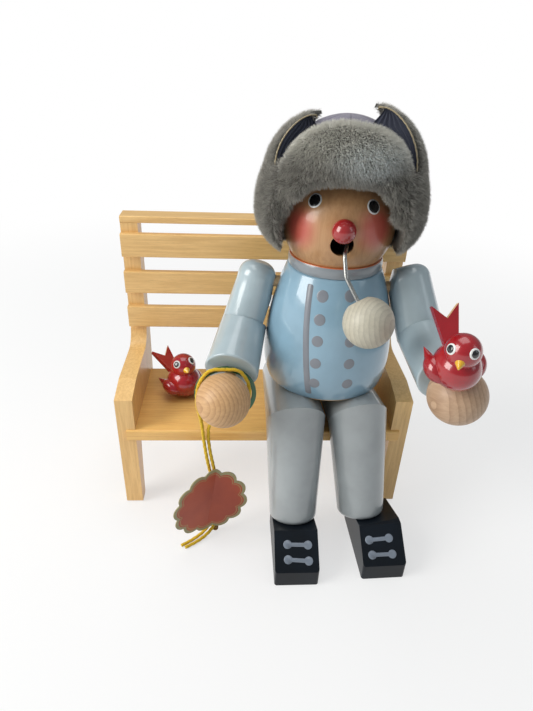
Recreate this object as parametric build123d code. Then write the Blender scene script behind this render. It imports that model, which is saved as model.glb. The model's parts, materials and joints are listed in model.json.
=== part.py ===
from build123d import *
import os
from math import atan2, cos, radians, sin, sqrt, tan

# Incense smoker: a turned wooden figure sitting on a garden bench, in millimetres.
# X runs along the bench, Y towards its back, Z up from the floor. "right" is the
# figure's own right hand, at low X. The bench's mid plane is X = 0 and the front of its
# legs is Y = 0 while the pieces are drawn; place() then puts the origin on the floor
# under the middle of the whole object.

# Bench: two sawn side frames, a seat board, three slats and a top rail.
bench_width = 170.0
frame_thickness = 10.0
arm_front_height = 78.0
arm_height = 82.0
arm_crease_depth = 17.0
arm_sweep_radius = 12.0
leg_front_depth = 14.0
leg_foot_depth = 9.0
leg_round = 1.5
leg_arch_radius = 6.0
post_front = 62.0
post_depth = 12.0
post_height = 160.0
rear_leg_depth = 15.0
rear_leg_rake = 2.5
seat_top = 57.5
seat_thickness = 7.5
seat_overhang = 1.2
seat_depth = 67.7
seat_let_in = 5.0
seat_round = 1.2
slat_thickness = 4.0
slat_height = 14.0
slat_pitch = 23.2
slat_top = 154.5
rail_thickness = 4.0
rail_depth = 12.5
plank_round = 0.8

# Figure: the upper body stands on the vertical axis through (figure_x, figure_y).
figure_x = 34.5
figure_y = 20.0
figure_turn = -5.5
fit_gap = 0.3
running_gap = 0.05
overrun = 40.0

# Legs: turned thighs mitred to tapered lower legs, then sawn shoes.
thigh_knee_diameter = 33.0
thigh_hip_diameter = 29.5
thigh_length = 52.0
thigh_axis_height = 72.0
thigh_end_round = 2.5
ankle_diameter = 26.5
ankle_round = 3.0
lower_leg_length = 58.0
leg_slant = 19.5
knee_places = {"right": (16.3, -8.7), "left": (51.8, -5.5)}
leg_yaws = {"right": 2.0, "left": 6.0}
leg_rolls = {"right": 0.5, "left": 3.0}
shoe_yaws = {"right": 0.5, "left": 2.5}
shoe_shifts = {"right": 0.0, "left": 7.0}
shoe_width = 24.0
toe_reach = 33.5
toe_height = 10.0
heel_reach = 11.0
shoe_crease_reach = 16.0
shoe_edge_round = 1.5
ankle_dowel_diameter = 6.0
ankle_dowel_length = 16.0
seat_dowel_diameter = 6.0
seat_dowel_length = 12.0
seat_dowel_setback = 26.0

# Base disc with the incense plate, which the jacket stands on.
base_flange_radius = 31.0
base_flange_height = 86.5
base_flange_thickness = 2.0
spigot_height = 4.0
plate_radius = 14.0
plate_rim_height = 2.5
plate_thickness = 0.6
pin_diameter = 1.6
pin_length = 7.0
pin_head_diameter = 3.6
pin_head_height = 0.8

# Jacket: a hollow turned barrel, with the smoke bore through its shoulders.
jacket_rim_radius = 33.0
jacket_belly_radius = 35.5
jacket_belly_rise = 14.0
jacket_neck_radius = 24.8
jacket_neck_height = 154.0
jacket_neck_round = 1.5
chamber_radius = 22.0
chamber_drop = 16.0
chamber_roof_drop = 7.0
smoke_bore_radius = 5.0
draught_notch_radius = 3.0
collar_radius = 24.8
collar_foot_radius = 24.2
collar_height = 6.0

# Head: a turned ball with a mouth hole and a red knob for a nose.
head_radius = 28.5
head_height = 176.5
neck_peg_radius = 9.0
neck_peg_length = 8.0
mouth_radius = 5.5
mouth_drop = 3.5
nose_radius = 5.7
nose_rise = 4.0
nose_proud = 2.2
nose_peg_radius = 1.6
nose_peg_length = 8.0

# Hat: a felt crown with an upturned fur flap in front, two fur ear flaps folded up at
# the sides, lined with cloth, and a fur band over the neck.
hat_turn = -5.0
face_azimuth = -90.0
crown_radius = 29.5
crown_foot_rise = 19.5
crown_side = 10.0
crown_dome_rise = 20.5
fur_radii = {"right": 43.0, "left": 42.2}
fur_bottom_radii = {"right": 31.0, "left": 29.0}
fur_bulge_rise = 7.5
fur_bottom_drop = 15.0
fur_waist_radius = 38.5
fur_waist_rise = 27.5
ear_flap_top_radii = {"right": 25.0, "left": 22.0}
ear_flap_top_rises = {"right": 18.5, "left": 23.0}
ear_flap_top_thickness = 4.0
ear_flap_end_angle = 138.0
front_flap_half_angle = 47.0
front_flap_bottom_radius = 33.0
front_flap_bulge_radius = 41.5
front_flap_bulge_rise = 13.5
front_flap_top_radius = 37.5
front_flap_height = 29.5
front_flap_corner_drop = 23.0
neck_band_radius = 40.0
neck_band_bottom_radius = 33.0
neck_band_bottom_drop = 10.0
neck_band_top_radius = 36.0
neck_band_top_rise = 8.0
face_half_width = 27.0
face_rise = 18.5
lining_thickness = 1.2

# Arms: identical, turned with a taper, mitred at the elbow, hung on the shoulder dowels.
shoulder_reach = 41.5
shoulder_drop = 12.0
arm_top_diameters = {"right": 20.5, "left": 24.0}
elbow_diameter = 25.0
cuff_diameter = 28.5
arm_dome_round = 7.5
upper_arm_length = 25.0
elbow_bend = 58.0
cuff_round = 1.0
wrist_reach = 39.0
wrist_gaps = {"right": 4.3, "left": 0.5}
hand_diameter = 27.5
wrist_dowel_diameter = 6.0
wrist_dowel_depth = 7.0
shoulder_dowel_diameter = 6.0
shoulder_dowel_seat = 7.0
arm_leans = {"right": 12.5, "left": 17.0}
arm_raises = {"right": 9.0, "left": 26.0}

# Pipe: a bent wire stem and a turned ball bowl, which is placed from the head's middle.
wire_diameter = 2.0
bowl_diameter = 24.0
bowl_place = (14.0, -47.7, -32.9)
bowl_flat_depth = 1.1
bowl_hole_depth = 5.0
stem_points = [(3.1, -22.5, 0.0), (3.0, -24.0, -8.0), (1.2, -32.5, -11.5), (2.6, -37.0, -20.5)]
stem_top_rise = 5.0
stem_radii = [3.0, 4.5]
stem_last_radius = 5.5

# Birds: a ball body and a ball head with two wings, a forked tail and a beak.
bird_body_radius = 10.2
bird_body_length = 23.0
bird_head_radius = 7.6
bird_head_rise = 11.0
bird_head_reach = 2.8
wing_length = 19.0
wing_radius = 4.4
wing_lift = 24.0
wing_splay = 10.0
wing_spread = 9.4
wing_setback = 3.0
tail_length = 21.3
tail_tip_width = 12.1
tail_root_width = 5.0
tail_thickness = 2.8
tail_fork_depth = 6.1
tail_lift = 45.4
tail_setback = 6.0
tail_rise = 2.5
beak_length = 4.2
beak_radius = 2.4
beak_drop = 7.1
bird_peg_diameter = 2.0
bird_peg_length = 7.0
bird_foot_flat = 0.6
seat_bird_place = (-49.8, 37.4)
seat_bird_turn = 43.2
seat_bird_nod = -13.8
hand_bird_place = (-7.7, -7.6, 20.7)
hand_bird_turn = 5.0
hand_bird_nod = 9.1
hand_bird_tilt = -7.4
bird_head_turns = {"seat_bird": -22.6, "hand_bird": -31.6}

# Tag: a ring and a doubled cord hang on the right wrist dowel. The cord carries a
# scalloped card, folded once, and its knotted ends lie on the floor. Cord routes run
# from the middle of the loop to their tails, in the bench's frame.
ring_outer_diameter = 32.5
ring_width = 2.3
ring_thickness = 2.0
ring_depth = -14.0
ring_lift = 0.8
ring_offset = -2.2
cord_diameter = 2.0
cord_routes = {
    "a": [(-22.3, -16.1, 109.4), (-30.6, -16.1, 109.4), (-36.4, -16.1, 101.0),
          (-37.9, -16.1, 88.5), (-35.2, -16.6, 76.0), (-34.2, -18.9, 65.0),
          (-32.6, -21.2, 54.0), (-30.6, -22.4, 44.0), (-30.2, -22.8, 31.0),
          (-31.0, -23.0, 17.0), (-32.0, -23.2, 4.5), (-36.0, -26.6, 1.6),
          (-41.5, -31.3, 1.15), (-47.6, -35.4, 1.1)],
    "b": [(-22.3, -16.1, 109.4), (-15.2, -16.1, 109.4), (-10.2, -16.1, 101.5),
          (-9.8, -16.1, 92.0), (-15.0, -16.8, 83.8), (-24.5, -17.2, 79.8),
          (-31.4, -16.0, 75.0), (-32.0, -17.0, 67.0), (-31.0, -19.6, 58.5),
          (-28.4, -22.0, 45.5), (-27.8, -22.5, 31.0), (-28.5, -23.2, 17.0),
          (-29.3, -24.6, 4.8), (-34.2, -29.0, 1.6), (-39.5, -33.2, 1.15),
          (-45.3, -36.8, 1.1)],
}
bend_share = 0.45
knot_radius = 2.2
knot_place = (-27.8, -23.4, 2.3)
card_place = (-32.5, -25.5, 27.9)
card_roll = 8.5
card_pitch = -2.3
card_radius = 22.8
card_scallop_radius = 6.0
card_scallops = 12
card_thickness = 0.8
card_fold_offset = 2.1
card_left_fold = 36.7
card_right_fold = 5.6


# Places worked out from the sizes above.
half_width = bench_width / 2
frame_inner = half_width - frame_thickness
post_back = post_front + post_depth
seat_bottom = seat_top - seat_thickness
arm_rear_depth = post_front - arm_sweep_radius
base_top = base_flange_height + base_flange_thickness
head_seat_height = jacket_neck_height + collar_height
chamber_height = jacket_neck_height - chamber_drop
chamber_roof_height = jacket_neck_height - chamber_roof_drop
shoulder_height = jacket_neck_height - shoulder_drop
stem_top_height = head_height + stem_top_rise
hand_radius = hand_diameter / 2
hand_reach = wrist_reach + hand_radius
crown_foot_height = head_height + crown_foot_rise
crown_side_height = crown_foot_height + crown_side
crown_top_height = crown_side_height + crown_dome_rise
fur_bulge_height = head_height + fur_bulge_rise
fur_bottom_height = head_height - fur_bottom_drop
fur_waist_height = head_height + fur_waist_rise
fur_inner_radius = crown_radius + fit_gap
toe_front = knee_places["right"][1] - lower_leg_length * sin(radians(leg_slant)) - toe_reach
sides = {"right": -1, "left": 1}


def turned(face, start=0, angle=360):
    """Revolve an (r, z) face about the vertical axis, from a starting angle."""
    return Rot(0, 0, start) * revolve(Plane.XZ * face, Axis.Z, angle)


def outline(*edges):
    """A closed flat face from joined edges."""
    return make_face(Curve() + list(edges))


def keep_above(solid, plane):
    """The part of a solid on the side that the plane's normal points to."""
    return split(solid, bisect_by=plane, keep=Keep.TOP)


def arm_tip(side):
    """The right or left hand ball's centre, in the figure's own frame."""
    return arm_frame(side) * Pos(forearm_point(hand_reach))


def forearm_point(distance):
    """A point on the forearm's axis, in the arm's own frame."""
    bend = radians(elbow_bend)
    return Vector(0, -distance * sin(bend), -upper_arm_length - distance * cos(bend))


def arm_frame(side):
    """Where an arm hangs on its shoulder, in the figure's own frame."""
    sign = sides[side]
    shoulder = Pos(sign * shoulder_reach, 0, shoulder_height)
    return shoulder * Rot(-arm_raises[side], 0, 0) * Rot(0, -sign * arm_leans[side], 0)


figure_frame = Pos(figure_x, figure_y, 0) * Rot(0, 0, figure_turn)


def side_frame(sign):
    """One sawn plank: front leg, arm rest, swept post and rear leg, with a seat dado."""
    arch_top = seat_bottom - leg_arch_radius
    foot_back = post_back - rear_leg_rake
    front = [
        Line((0, 0), (0, arm_front_height)),
        Line((0, arm_front_height), (arm_crease_depth, arm_height)),
        Line((arm_crease_depth, arm_height), (arm_rear_depth, arm_height)),
        JernArc((arm_rear_depth, arm_height), (1, 0), arm_sweep_radius, 90),
        Line((post_front, arm_height + arm_sweep_radius), (post_front, post_height)),
        Line((post_front, post_height), (post_back, post_height)),
        Line((post_back, post_height), (post_back, arm_height)),
        Line((post_back, arm_height), (foot_back, seat_bottom)),
        Line((foot_back, seat_bottom), (post_back, 0)),
        Line((post_back, 0), (post_back - leg_foot_depth, 0)),
        Line((post_back - leg_foot_depth, 0), (foot_back - rear_leg_depth, arch_top)),
        RadiusArc((foot_back - rear_leg_depth, arch_top),
                  (foot_back - rear_leg_depth - leg_arch_radius, seat_bottom), -leg_arch_radius),
        Line((foot_back - rear_leg_depth - leg_arch_radius, seat_bottom),
             (leg_front_depth + leg_arch_radius, seat_bottom)),
        RadiusArc((leg_front_depth + leg_arch_radius, seat_bottom),
                  (leg_front_depth, arch_top), -leg_arch_radius),
        Line((leg_front_depth, arch_top), (leg_foot_depth, 0)),
        Line((leg_foot_depth, 0), (0, 0)),
    ]
    plank = extrude(Plane.YZ * outline(*front), frame_thickness)
    feet = plank.edges().filter_by(Axis.X).filter_by_position(Axis.Z, -leg_round, leg_round)
    plank = fillet(feet, leg_round)
    dado = Pos(0, (seat_depth - seat_overhang) / 2, seat_top - seat_thickness / 2) * Box(
        seat_let_in, seat_depth + seat_overhang, seat_thickness)
    inner = frame_inner if sign > 0 else -half_width
    plank = Pos(inner, 0, 0) * plank
    return plank - Pos(sign * (frame_inner + seat_let_in / 2), 0, 0) * dado


def seat_board():
    """The seat, let into both frames, with an eased front edge."""
    width = 2 * (frame_inner + seat_let_in)
    board = Pos(0, seat_depth / 2 - seat_overhang, seat_top - seat_thickness / 2) * Box(
        width, seat_depth, seat_thickness)
    front = board.edges().filter_by(Axis.X).group_by(Axis.Y)[0]
    return fillet(front, seat_round)


def slat(index):
    """A back slat on the front of both posts; index 0 is the upper one."""
    middle = slat_top - slat_height / 2 - index * slat_pitch
    board = Pos(0, post_front - slat_thickness / 2, middle) * Box(
        bench_width, slat_thickness, slat_height)
    front = board.edges().filter_by(Axis.X).group_by(Axis.Y)[0]
    return fillet(front, plank_round)


def top_rail():
    """The flat rail that caps both posts."""
    board = Pos(0, post_back - rail_depth / 2, post_height + rail_thickness / 2) * Box(
        bench_width, rail_depth, rail_thickness)
    return fillet(board.edges().filter_by(Axis.X), plank_round)


def leg_frames(side):
    """Frames of one leg: the thigh's, at the knee, and the lower leg's, along its axis."""
    x, y = knee_places[side]
    knee = Pos(x, y, thigh_axis_height) * Rot(0, 0, leg_yaws[side])
    knee = knee * Rot(0, sides[side] * -leg_rolls[side], 0)
    return knee, knee * Rot(-leg_slant, 0, 0)


def knee_plane(side):
    """The mitre plane, whose normal halves the turn from the thigh to the lower leg."""
    knee, _ = leg_frames(side)
    return Plane(knee * Rot(135 - leg_slant / 2, 0, 0))


def thigh(side):
    """A tapered turned thigh, flat under the base disc and on the seat."""
    knee, _ = leg_frames(side)
    radius = thigh_knee_diameter / 2
    taper = (radius - thigh_hip_diameter / 2) / thigh_length
    face = outline(
        Line((0, -overrun), (radius + overrun * taper, -overrun)),
        Line((radius + overrun * taper, -overrun), (thigh_hip_diameter / 2, thigh_length)),
        Line((thigh_hip_diameter / 2, thigh_length), (0, thigh_length)),
        Line((0, thigh_length), (0, -overrun)))
    body = turned(face)
    body = fillet(body.edges().group_by(Axis.Z)[-1], thigh_end_round)
    body = knee * Rot(-90, 0, 0) * body
    body = split(body, bisect_by=knee_plane(side), keep=Keep.BOTTOM)
    body = keep_above(body, Plane((0, 0, seat_top)))
    seat = Pos(figure_x, figure_y, base_flange_height + overrun / 2) * Cylinder(
        base_flange_radius, overrun)
    clearance = Pos(figure_x, figure_y, base_top - fit_gap + overrun / 2) * Cylinder(
        jacket_belly_radius + fit_gap, overrun)
    return body - seat - clearance - seat_dowel(side)


def lower_leg(side):
    """A tapered lower leg, mitred at the knee and rounded at the ankle."""
    _, shin = leg_frames(side)
    knee_radius, ankle_radius = thigh_knee_diameter / 2, ankle_diameter / 2
    taper = (knee_radius - ankle_radius) / lower_leg_length
    face = outline(
        Line((0, -lower_leg_length), (ankle_radius, -lower_leg_length)),
        Line((ankle_radius, -lower_leg_length), (knee_radius + overrun * taper, overrun)),
        Line((knee_radius + overrun * taper, overrun), (0, overrun)),
        Line((0, overrun), (0, -lower_leg_length)))
    body = turned(face)
    body = fillet(body.edges().group_by(Axis.Z)[0], ankle_round)
    body = shin * body
    body = keep_above(body, knee_plane(side))
    bench = Pos(0, overrun - seat_overhang, seat_top - overrun) * Box(
        bench_width, 2 * overrun, 2 * overrun)
    return body - bench - ankle_dowel(side)


def ankle_frame(side):
    """The middle of the lower leg's end face."""
    _, shin = leg_frames(side)
    return shin * Pos(0, 0, -lower_leg_length)


def shoe(side):
    """A shoe sawn from a plank, its ankle face square to the lower leg."""
    ankle = ankle_frame(side)
    centre = ankle.position
    slope = tan(radians(leg_slant))
    crease_height = centre.Z + shoe_crease_reach * slope
    face = outline(
        Line((-toe_reach, 0), (-toe_reach, toe_height)),
        Line((-toe_reach, toe_height), (-shoe_crease_reach, crease_height)),
        Line((-shoe_crease_reach, crease_height), (heel_reach, crease_height)),
        Line((heel_reach, crease_height), (heel_reach, 0)),
        Line((heel_reach, 0), (-toe_reach, 0)))
    body = Pos(-shoe_width / 2, 0, 0) * extrude(Plane.YZ * face, shoe_width)
    toe = body.edges().group_by(Axis.Y)[0].filter_by(Axis.Z)
    body = fillet(toe, shoe_edge_round)
    body = Pos(centre.X + shoe_shifts[side], centre.Y, 0) * Rot(0, 0, shoe_yaws[side]) * body
    body = split(body, bisect_by=Plane(ankle), keep=Keep.BOTTOM)
    return body - ankle_dowel(side)


def ankle_dowel(side):
    """The dowel between a lower leg and its shoe."""
    ankle = ankle_frame(side)
    return ankle * Cylinder(ankle_dowel_diameter / 2, ankle_dowel_length)


def seat_dowel(side):
    """The upright dowel that fixes a thigh on the seat."""
    knee, _ = leg_frames(side)
    spot = (knee * Pos(0, seat_dowel_setback, 0)).position
    return Pos(spot.X, spot.Y, seat_top) * Cylinder(seat_dowel_diameter / 2, seat_dowel_length)


def base_disc():
    """The disc on the thighs: a flange under the jacket's rim and a spigot in its bore."""
    spigot = chamber_radius - fit_gap
    dish = plate_radius + fit_gap
    face = outline(
        Line((0, base_flange_height), (base_flange_radius, base_flange_height)),
        Line((base_flange_radius, base_flange_height), (base_flange_radius, base_top)),
        Line((base_flange_radius, base_top), (spigot, base_top)),
        Line((spigot, base_top), (spigot, base_top + spigot_height)),
        Line((spigot, base_top + spigot_height), (dish, base_top + spigot_height)),
        Line((dish, base_top + spigot_height), (dish, base_top)),
        Line((dish, base_top), (0, base_top)),
        Line((0, base_top), (0, base_flange_height)))
    return turned(face) - plate_pin()


def incense_plate():
    """The pressed metal dish that carries the cone."""
    foot, rim = base_top, base_top + plate_rim_height
    wall = plate_radius - plate_thickness
    face = outline(
        Line((0, foot), (plate_radius, foot)),
        Line((plate_radius, foot), (plate_radius, rim)),
        Line((plate_radius, rim), (wall, rim)),
        Line((wall, rim), (wall, foot + plate_thickness)),
        Line((wall, foot + plate_thickness), (0, foot + plate_thickness)),
        Line((0, foot + plate_thickness), (0, foot)))
    return turned(face) - plate_pin()


def plate_pin():
    """The round headed pin through the plate's middle."""
    head_foot = base_top + plate_thickness
    tip = head_foot - pin_length
    shank, head = pin_diameter / 2, pin_head_diameter / 2
    face = outline(
        Line((0, tip), (shank, tip + shank)),
        Line((shank, tip + shank), (shank, head_foot)),
        Line((shank, head_foot), (head, head_foot)),
        TangentArc((0, head_foot + pin_head_height), (head, head_foot), tangent=(1, 0)),
        Line((0, head_foot + pin_head_height), (0, tip)))
    return turned(face)


def jacket():
    """The hollow turned barrel of the jacket, from its rim to the collar's seat."""
    rim, belly, neck = jacket_rim_radius, jacket_belly_radius, jacket_neck_radius
    belly_height = base_top + jacket_belly_rise
    shell = outline(
        Line((0, base_top), (rim, base_top)),
        TangentArc((belly, belly_height), (rim, base_top), tangent=(0, -1)),
        TangentArc((belly, belly_height), (neck, jacket_neck_height), tangent=(0, 1)),
        Line((neck, jacket_neck_height), (0, jacket_neck_height)),
        Line((0, jacket_neck_height), (0, base_top)))
    solid = turned(shell)
    solid = fillet(solid.edges().group_by(Axis.Z)[-1], jacket_neck_round)
    chamber = outline(
        Line((0, base_top), (chamber_radius, base_top)),
        Line((chamber_radius, base_top), (chamber_radius, chamber_height)),
        Line((chamber_radius, chamber_height), (smoke_bore_radius, chamber_roof_height)),
        Line((smoke_bore_radius, chamber_roof_height), (smoke_bore_radius, jacket_neck_height)),
        Line((smoke_bore_radius, jacket_neck_height), (0, jacket_neck_height)),
        Line((0, jacket_neck_height), (0, base_top)))
    solid = solid - turned(chamber)
    notch = Pos(0, belly / 2 + chamber_radius / 2, base_top) * Rot(90, 0, 0) * Cylinder(
        draught_notch_radius, belly)
    socket = Pos(0, 0, jacket_neck_height) * Cylinder(neck_peg_radius, 2 * neck_peg_length)
    return solid - notch - socket - [shoulder_dowel(side) for side in sides]


def collar():
    """The ring between jacket and head."""
    top = head_seat_height
    face = outline(
        Line((neck_peg_radius, jacket_neck_height), (collar_foot_radius, jacket_neck_height)),
        ThreePointArc((collar_foot_radius, jacket_neck_height),
                      (collar_radius, jacket_neck_height + collar_height / 2),
                      (collar_foot_radius, top)),
        Line((collar_foot_radius, top), (neck_peg_radius, top)),
        Line((neck_peg_radius, top), (neck_peg_radius, jacket_neck_height)))
    return turned(face)


def nose_axis():
    """The nose's middle, on the head ball, in the figure's own frame."""
    return Pos(0, -(head_radius + nose_proud) * cos(rise_angle(nose_rise)),
               head_height + nose_rise)


def rise_angle(rise):
    """The angle at which a rise stands on the head ball."""
    return atan2(rise, sqrt(head_radius ** 2 - rise ** 2))


def mouth_bore():
    """The mouth hole, from the face to the smoke bore."""
    depth = head_radius + smoke_bore_radius
    return Pos(0, -depth / 2, head_height - mouth_drop) * Rot(90, 0, 0) * Cylinder(
        mouth_radius, depth)


def head():
    """The turned head: a ball with a hollow neck peg, a mouth hole and a nose hole."""
    seat_radius = sqrt(head_radius ** 2 - (head_height - head_seat_height) ** 2)
    top = head_height + head_radius
    foot = jacket_neck_height - neck_peg_length
    face = outline(
        Line((0, foot), (neck_peg_radius, foot)),
        Line((neck_peg_radius, foot), (neck_peg_radius, head_seat_height)),
        Line((neck_peg_radius, head_seat_height), (seat_radius, head_seat_height)),
        ThreePointArc((seat_radius, head_seat_height), (head_radius, head_height), (0, top)),
        Line((0, top), (0, foot)))
    solid = turned(face)
    bore_top = head_height + mouth_radius
    bore = Pos(0, 0, (foot + bore_top) / 2) * Cylinder(smoke_bore_radius, bore_top - foot)
    nose_hole = nose_axis() * Rot(90, 0, 0) * Cylinder(
        nose_peg_radius, 2 * (nose_peg_length + nose_radius))
    return solid - bore - mouth_bore() - nose_hole - pipe_stem()


def nose():
    """The round nose knob with its peg."""
    spot = nose_axis()
    knob = spot * Sphere(nose_radius)
    knob = knob - Pos(0, 0, head_height) * Sphere(head_radius)
    length = nose_peg_length + nose_radius
    peg = spot * Pos(0, length / 2, 0) * Rot(90, 0, 0) * Cylinder(nose_peg_radius, length)
    return knob + (peg - mouth_bore())


def head_ease(height):
    """The radius of the hat's inside at a height: the head's ball with a fitting gap."""
    return sqrt((head_radius + fit_gap) ** 2 - (height - head_height) ** 2)


def dome(gap):
    """The outline of the crown's outside above its foot, grown by a gap."""
    side = crown_radius + gap
    top = crown_top_height + gap
    return [
        Line((side, crown_foot_height), (side, crown_side_height)),
        TangentArc((0, top), (side, crown_side_height), tangent=(1, 0)),
        Line((0, top), (0, head_height + head_radius + fit_gap)),
    ]


def crown():
    """The felt crown: a soft dome pulled down over the head."""
    brim = head_ease(crown_foot_height)
    face = outline(
        Line((brim, crown_foot_height), (crown_radius, crown_foot_height)),
        *dome(0),
        TangentArc((0, head_height + head_radius + fit_gap), (brim, crown_foot_height),
                   tangent=(1, 0)))
    return turned(face)


def crown_room():
    """The room that the fur and the linings leave round the crown's dome."""
    top = head_height + head_radius + fit_gap
    face = outline(*dome(fit_gap), Line((0, top), (0, crown_foot_height)),
                   Line((0, crown_foot_height), (crown_radius + fit_gap, crown_foot_height)))
    return turned(face)


def face_opening():
    """The arched opening that the fur leaves round the face."""
    drop = fur_bottom_drop + overrun
    arch = Ellipse(face_half_width, face_rise)
    throat = Pos(0, -drop / 2) * Rectangle(2 * face_half_width, drop)
    cut = extrude(Plane.XZ * (arch + throat), 2 * overrun)
    return Pos(0, 0, head_height) * cut


def hat_sector(face, start, end):
    """Revolve a half section of the hat, between two angles from the face."""
    return turned(face, start=hat_turn + face_azimuth + start, angle=end - start)


def front_flap():
    """The upturned front flap, its top edge falling towards both ends."""
    top_height = crown_foot_height + front_flap_height
    bulge_height = crown_foot_height + front_flap_bulge_rise
    face = outline(
        Line((fur_inner_radius, crown_foot_height), (front_flap_bottom_radius, crown_foot_height)),
        ThreePointArc((front_flap_bottom_radius, crown_foot_height),
                      (front_flap_bulge_radius, bulge_height),
                      (front_flap_top_radius, top_height)),
        Line((front_flap_top_radius, top_height), (fur_inner_radius, top_height)),
        Line((fur_inner_radius, top_height), (fur_inner_radius, crown_foot_height)))
    solid = hat_sector(face, -front_flap_half_angle, front_flap_half_angle)
    half_span = front_flap_bulge_radius * sin(radians(front_flap_half_angle))
    sag = front_flap_corner_drop
    arch_radius = (half_span ** 2 + sag ** 2) / (2 * sag)
    arch = Pos(0, -overrun, top_height - arch_radius) * Rot(90, 0, 0) * Cylinder(
        arch_radius, 2 * overrun)
    return solid & (Rot(0, 0, hat_turn) * arch)


def inside_lines(bottom):
    """The half section of the fur's inside: round the head, then up the crown's side."""
    brim, low = head_ease(crown_foot_height), head_ease(bottom)
    return [
        Line((fur_inner_radius, crown_side_height), (fur_inner_radius, crown_foot_height)),
        Line((fur_inner_radius, crown_foot_height), (brim, crown_foot_height)),
        ThreePointArc((brim, crown_foot_height), (head_ease(head_height), head_height),
                      (low, bottom)),
    ]


def ear_flap(side):
    """A fur ear flap folded up: it bulges, draws in at a waist, and leans over the crown."""
    radius, foot = fur_radii[side], fur_bottom_radii[side]
    top = ear_flap_top_radii[side]
    top_height = crown_side_height + ear_flap_top_rises[side]
    tip = top - ear_flap_top_thickness
    face = outline(
        Line((head_ease(fur_bottom_height), fur_bottom_height), (foot, fur_bottom_height)),
        TangentArc((radius, fur_bulge_height), (foot, fur_bottom_height), tangent=(0, -1)),
        TangentArc((radius, fur_bulge_height), (fur_waist_radius, fur_waist_height),
                   tangent=(0, 1)),
        TangentArc((fur_waist_radius, fur_waist_height), (top, top_height), tangent=(0, 1)),
        Line((top, top_height), (tip, top_height)),
        Line((tip, top_height), (fur_inner_radius, crown_side_height)),
        *inside_lines(fur_bottom_height))
    solid = hat_sector(face, *ear_flap_angles(side))
    return solid - [crown_room(), face_opening(), ear_lining(side)]


def ear_flap_angles(side):
    """Where an ear flap starts and ends, round from the face."""
    low, high = front_flap_half_angle, ear_flap_end_angle
    return (low, high) if side == "left" else (-high, -low)


def ear_lining(side):
    """The cloth on the inner side of an ear flap, facing the crown."""
    top_height = crown_side_height + ear_flap_top_rises[side]
    foot = fur_inner_radius
    tip = ear_flap_top_radii[side] - ear_flap_top_thickness
    face = make_face(Polyline(
        (foot, crown_side_height), (foot + lining_thickness, crown_side_height),
        (tip + lining_thickness, top_height), (tip, top_height), close=True))
    return hat_sector(face, *ear_flap_angles(side)) - crown_room()


def neck_band():
    """The fur band over the back of the neck."""
    foot_height = head_height - neck_band_bottom_drop
    top_height = crown_side_height + neck_band_top_rise
    face = outline(
        Line((head_ease(foot_height), foot_height), (neck_band_bottom_radius, foot_height)),
        ThreePointArc((neck_band_bottom_radius, foot_height),
                      (neck_band_radius, fur_bulge_height), (neck_band_top_radius, top_height)),
        Line((neck_band_top_radius, top_height), (fur_inner_radius, top_height)),
        Line((fur_inner_radius, top_height), (fur_inner_radius, crown_side_height)),
        *inside_lines(foot_height))
    return hat_sector(face, ear_flap_end_angle, 360 - ear_flap_end_angle)


def forearm_frame():
    """The forearm's axis at the elbow, in the arm's own frame."""
    return Pos(0, 0, -upper_arm_length) * Rot(-elbow_bend, 0, 0)


def elbow_plane():
    """The mitre plane of the elbow, in the arm's own frame."""
    return Plane(Pos(0, 0, -upper_arm_length) * Rot(180 - elbow_bend / 2, 0, 0))


def upper_arm(side):
    """The upper arm: a domed, tapered turning, bored for its dowel and cut at the elbow."""
    top, low = arm_top_diameters[side] / 2, elbow_diameter / 2
    taper = (low - top) / upper_arm_length
    reach = overrun / 2
    face = outline(
        Line((0, top), (top, top)),
        Line((top, top), (top, 0)),
        Line((top, 0), (low + taper * reach, -upper_arm_length - reach)),
        Line((low + taper * reach, -upper_arm_length - reach),
             (0, -upper_arm_length - reach)),
        Line((0, -upper_arm_length - reach), (0, top)))
    body = turned(face)
    body = fillet(body.edges().group_by(Axis.Z)[-1], arm_dome_round)
    body = split(body, bisect_by=elbow_plane(), keep=Keep.BOTTOM)
    body = arm_frame(side) * body
    return body - shoulder_bore(side) - shoulder_seat(side)


def jacket_radius_at(height):
    """The jacket's outer radius at a height above its belly."""
    rise = jacket_neck_height - base_top - jacket_belly_rise
    fall = jacket_belly_radius - jacket_neck_radius
    curve = (rise ** 2 + fall ** 2) / (2 * fall)
    climb = height - base_top - jacket_belly_rise
    return jacket_belly_radius - curve + sqrt(curve ** 2 - climb ** 2)


def shoulder_seat(side):
    """What is turned off an arm's inner side, so that it swings clear of the jacket."""
    reach = arm_top_diameters[side] / 2
    near = jacket_radius_at(shoulder_height) + fit_gap
    far = jacket_radius_at(shoulder_height - reach) + fit_gap
    slope = (far - near) / reach
    middle = (jacket_radius_at(shoulder_height - reach / 2) + fit_gap) - (near + far) / 2
    start, end = near + middle, near + middle + slope * overrun
    face = make_face(Polyline((0, 0), (0, start), (overrun, end), (overrun, 0), close=True))
    return Pos(0, 0, shoulder_height) * Rot(0, sides[side] * 90, 0) * turned(face)


def forearm(side):
    """The forearm, from the elbow's mitre to the flat cuff."""
    low, cuff = elbow_diameter / 2, cuff_diameter / 2
    length = wrist_reach - wrist_gaps[side]
    taper = (cuff - low) / length
    reach = overrun / 2
    face = outline(
        Line((0, reach), (low - taper * reach, reach)),
        Line((low - taper * reach, reach), (cuff, -length)),
        Line((cuff, -length), (0, -length)),
        Line((0, -length), (0, reach)))
    body = turned(face)
    body = fillet(body.edges().group_by(Axis.Z)[0], cuff_round)
    body = forearm_frame() * body
    body = split(body, bisect_by=elbow_plane(), keep=Keep.TOP)
    return arm_frame(side) * body - wrist_dowel(side)


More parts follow.
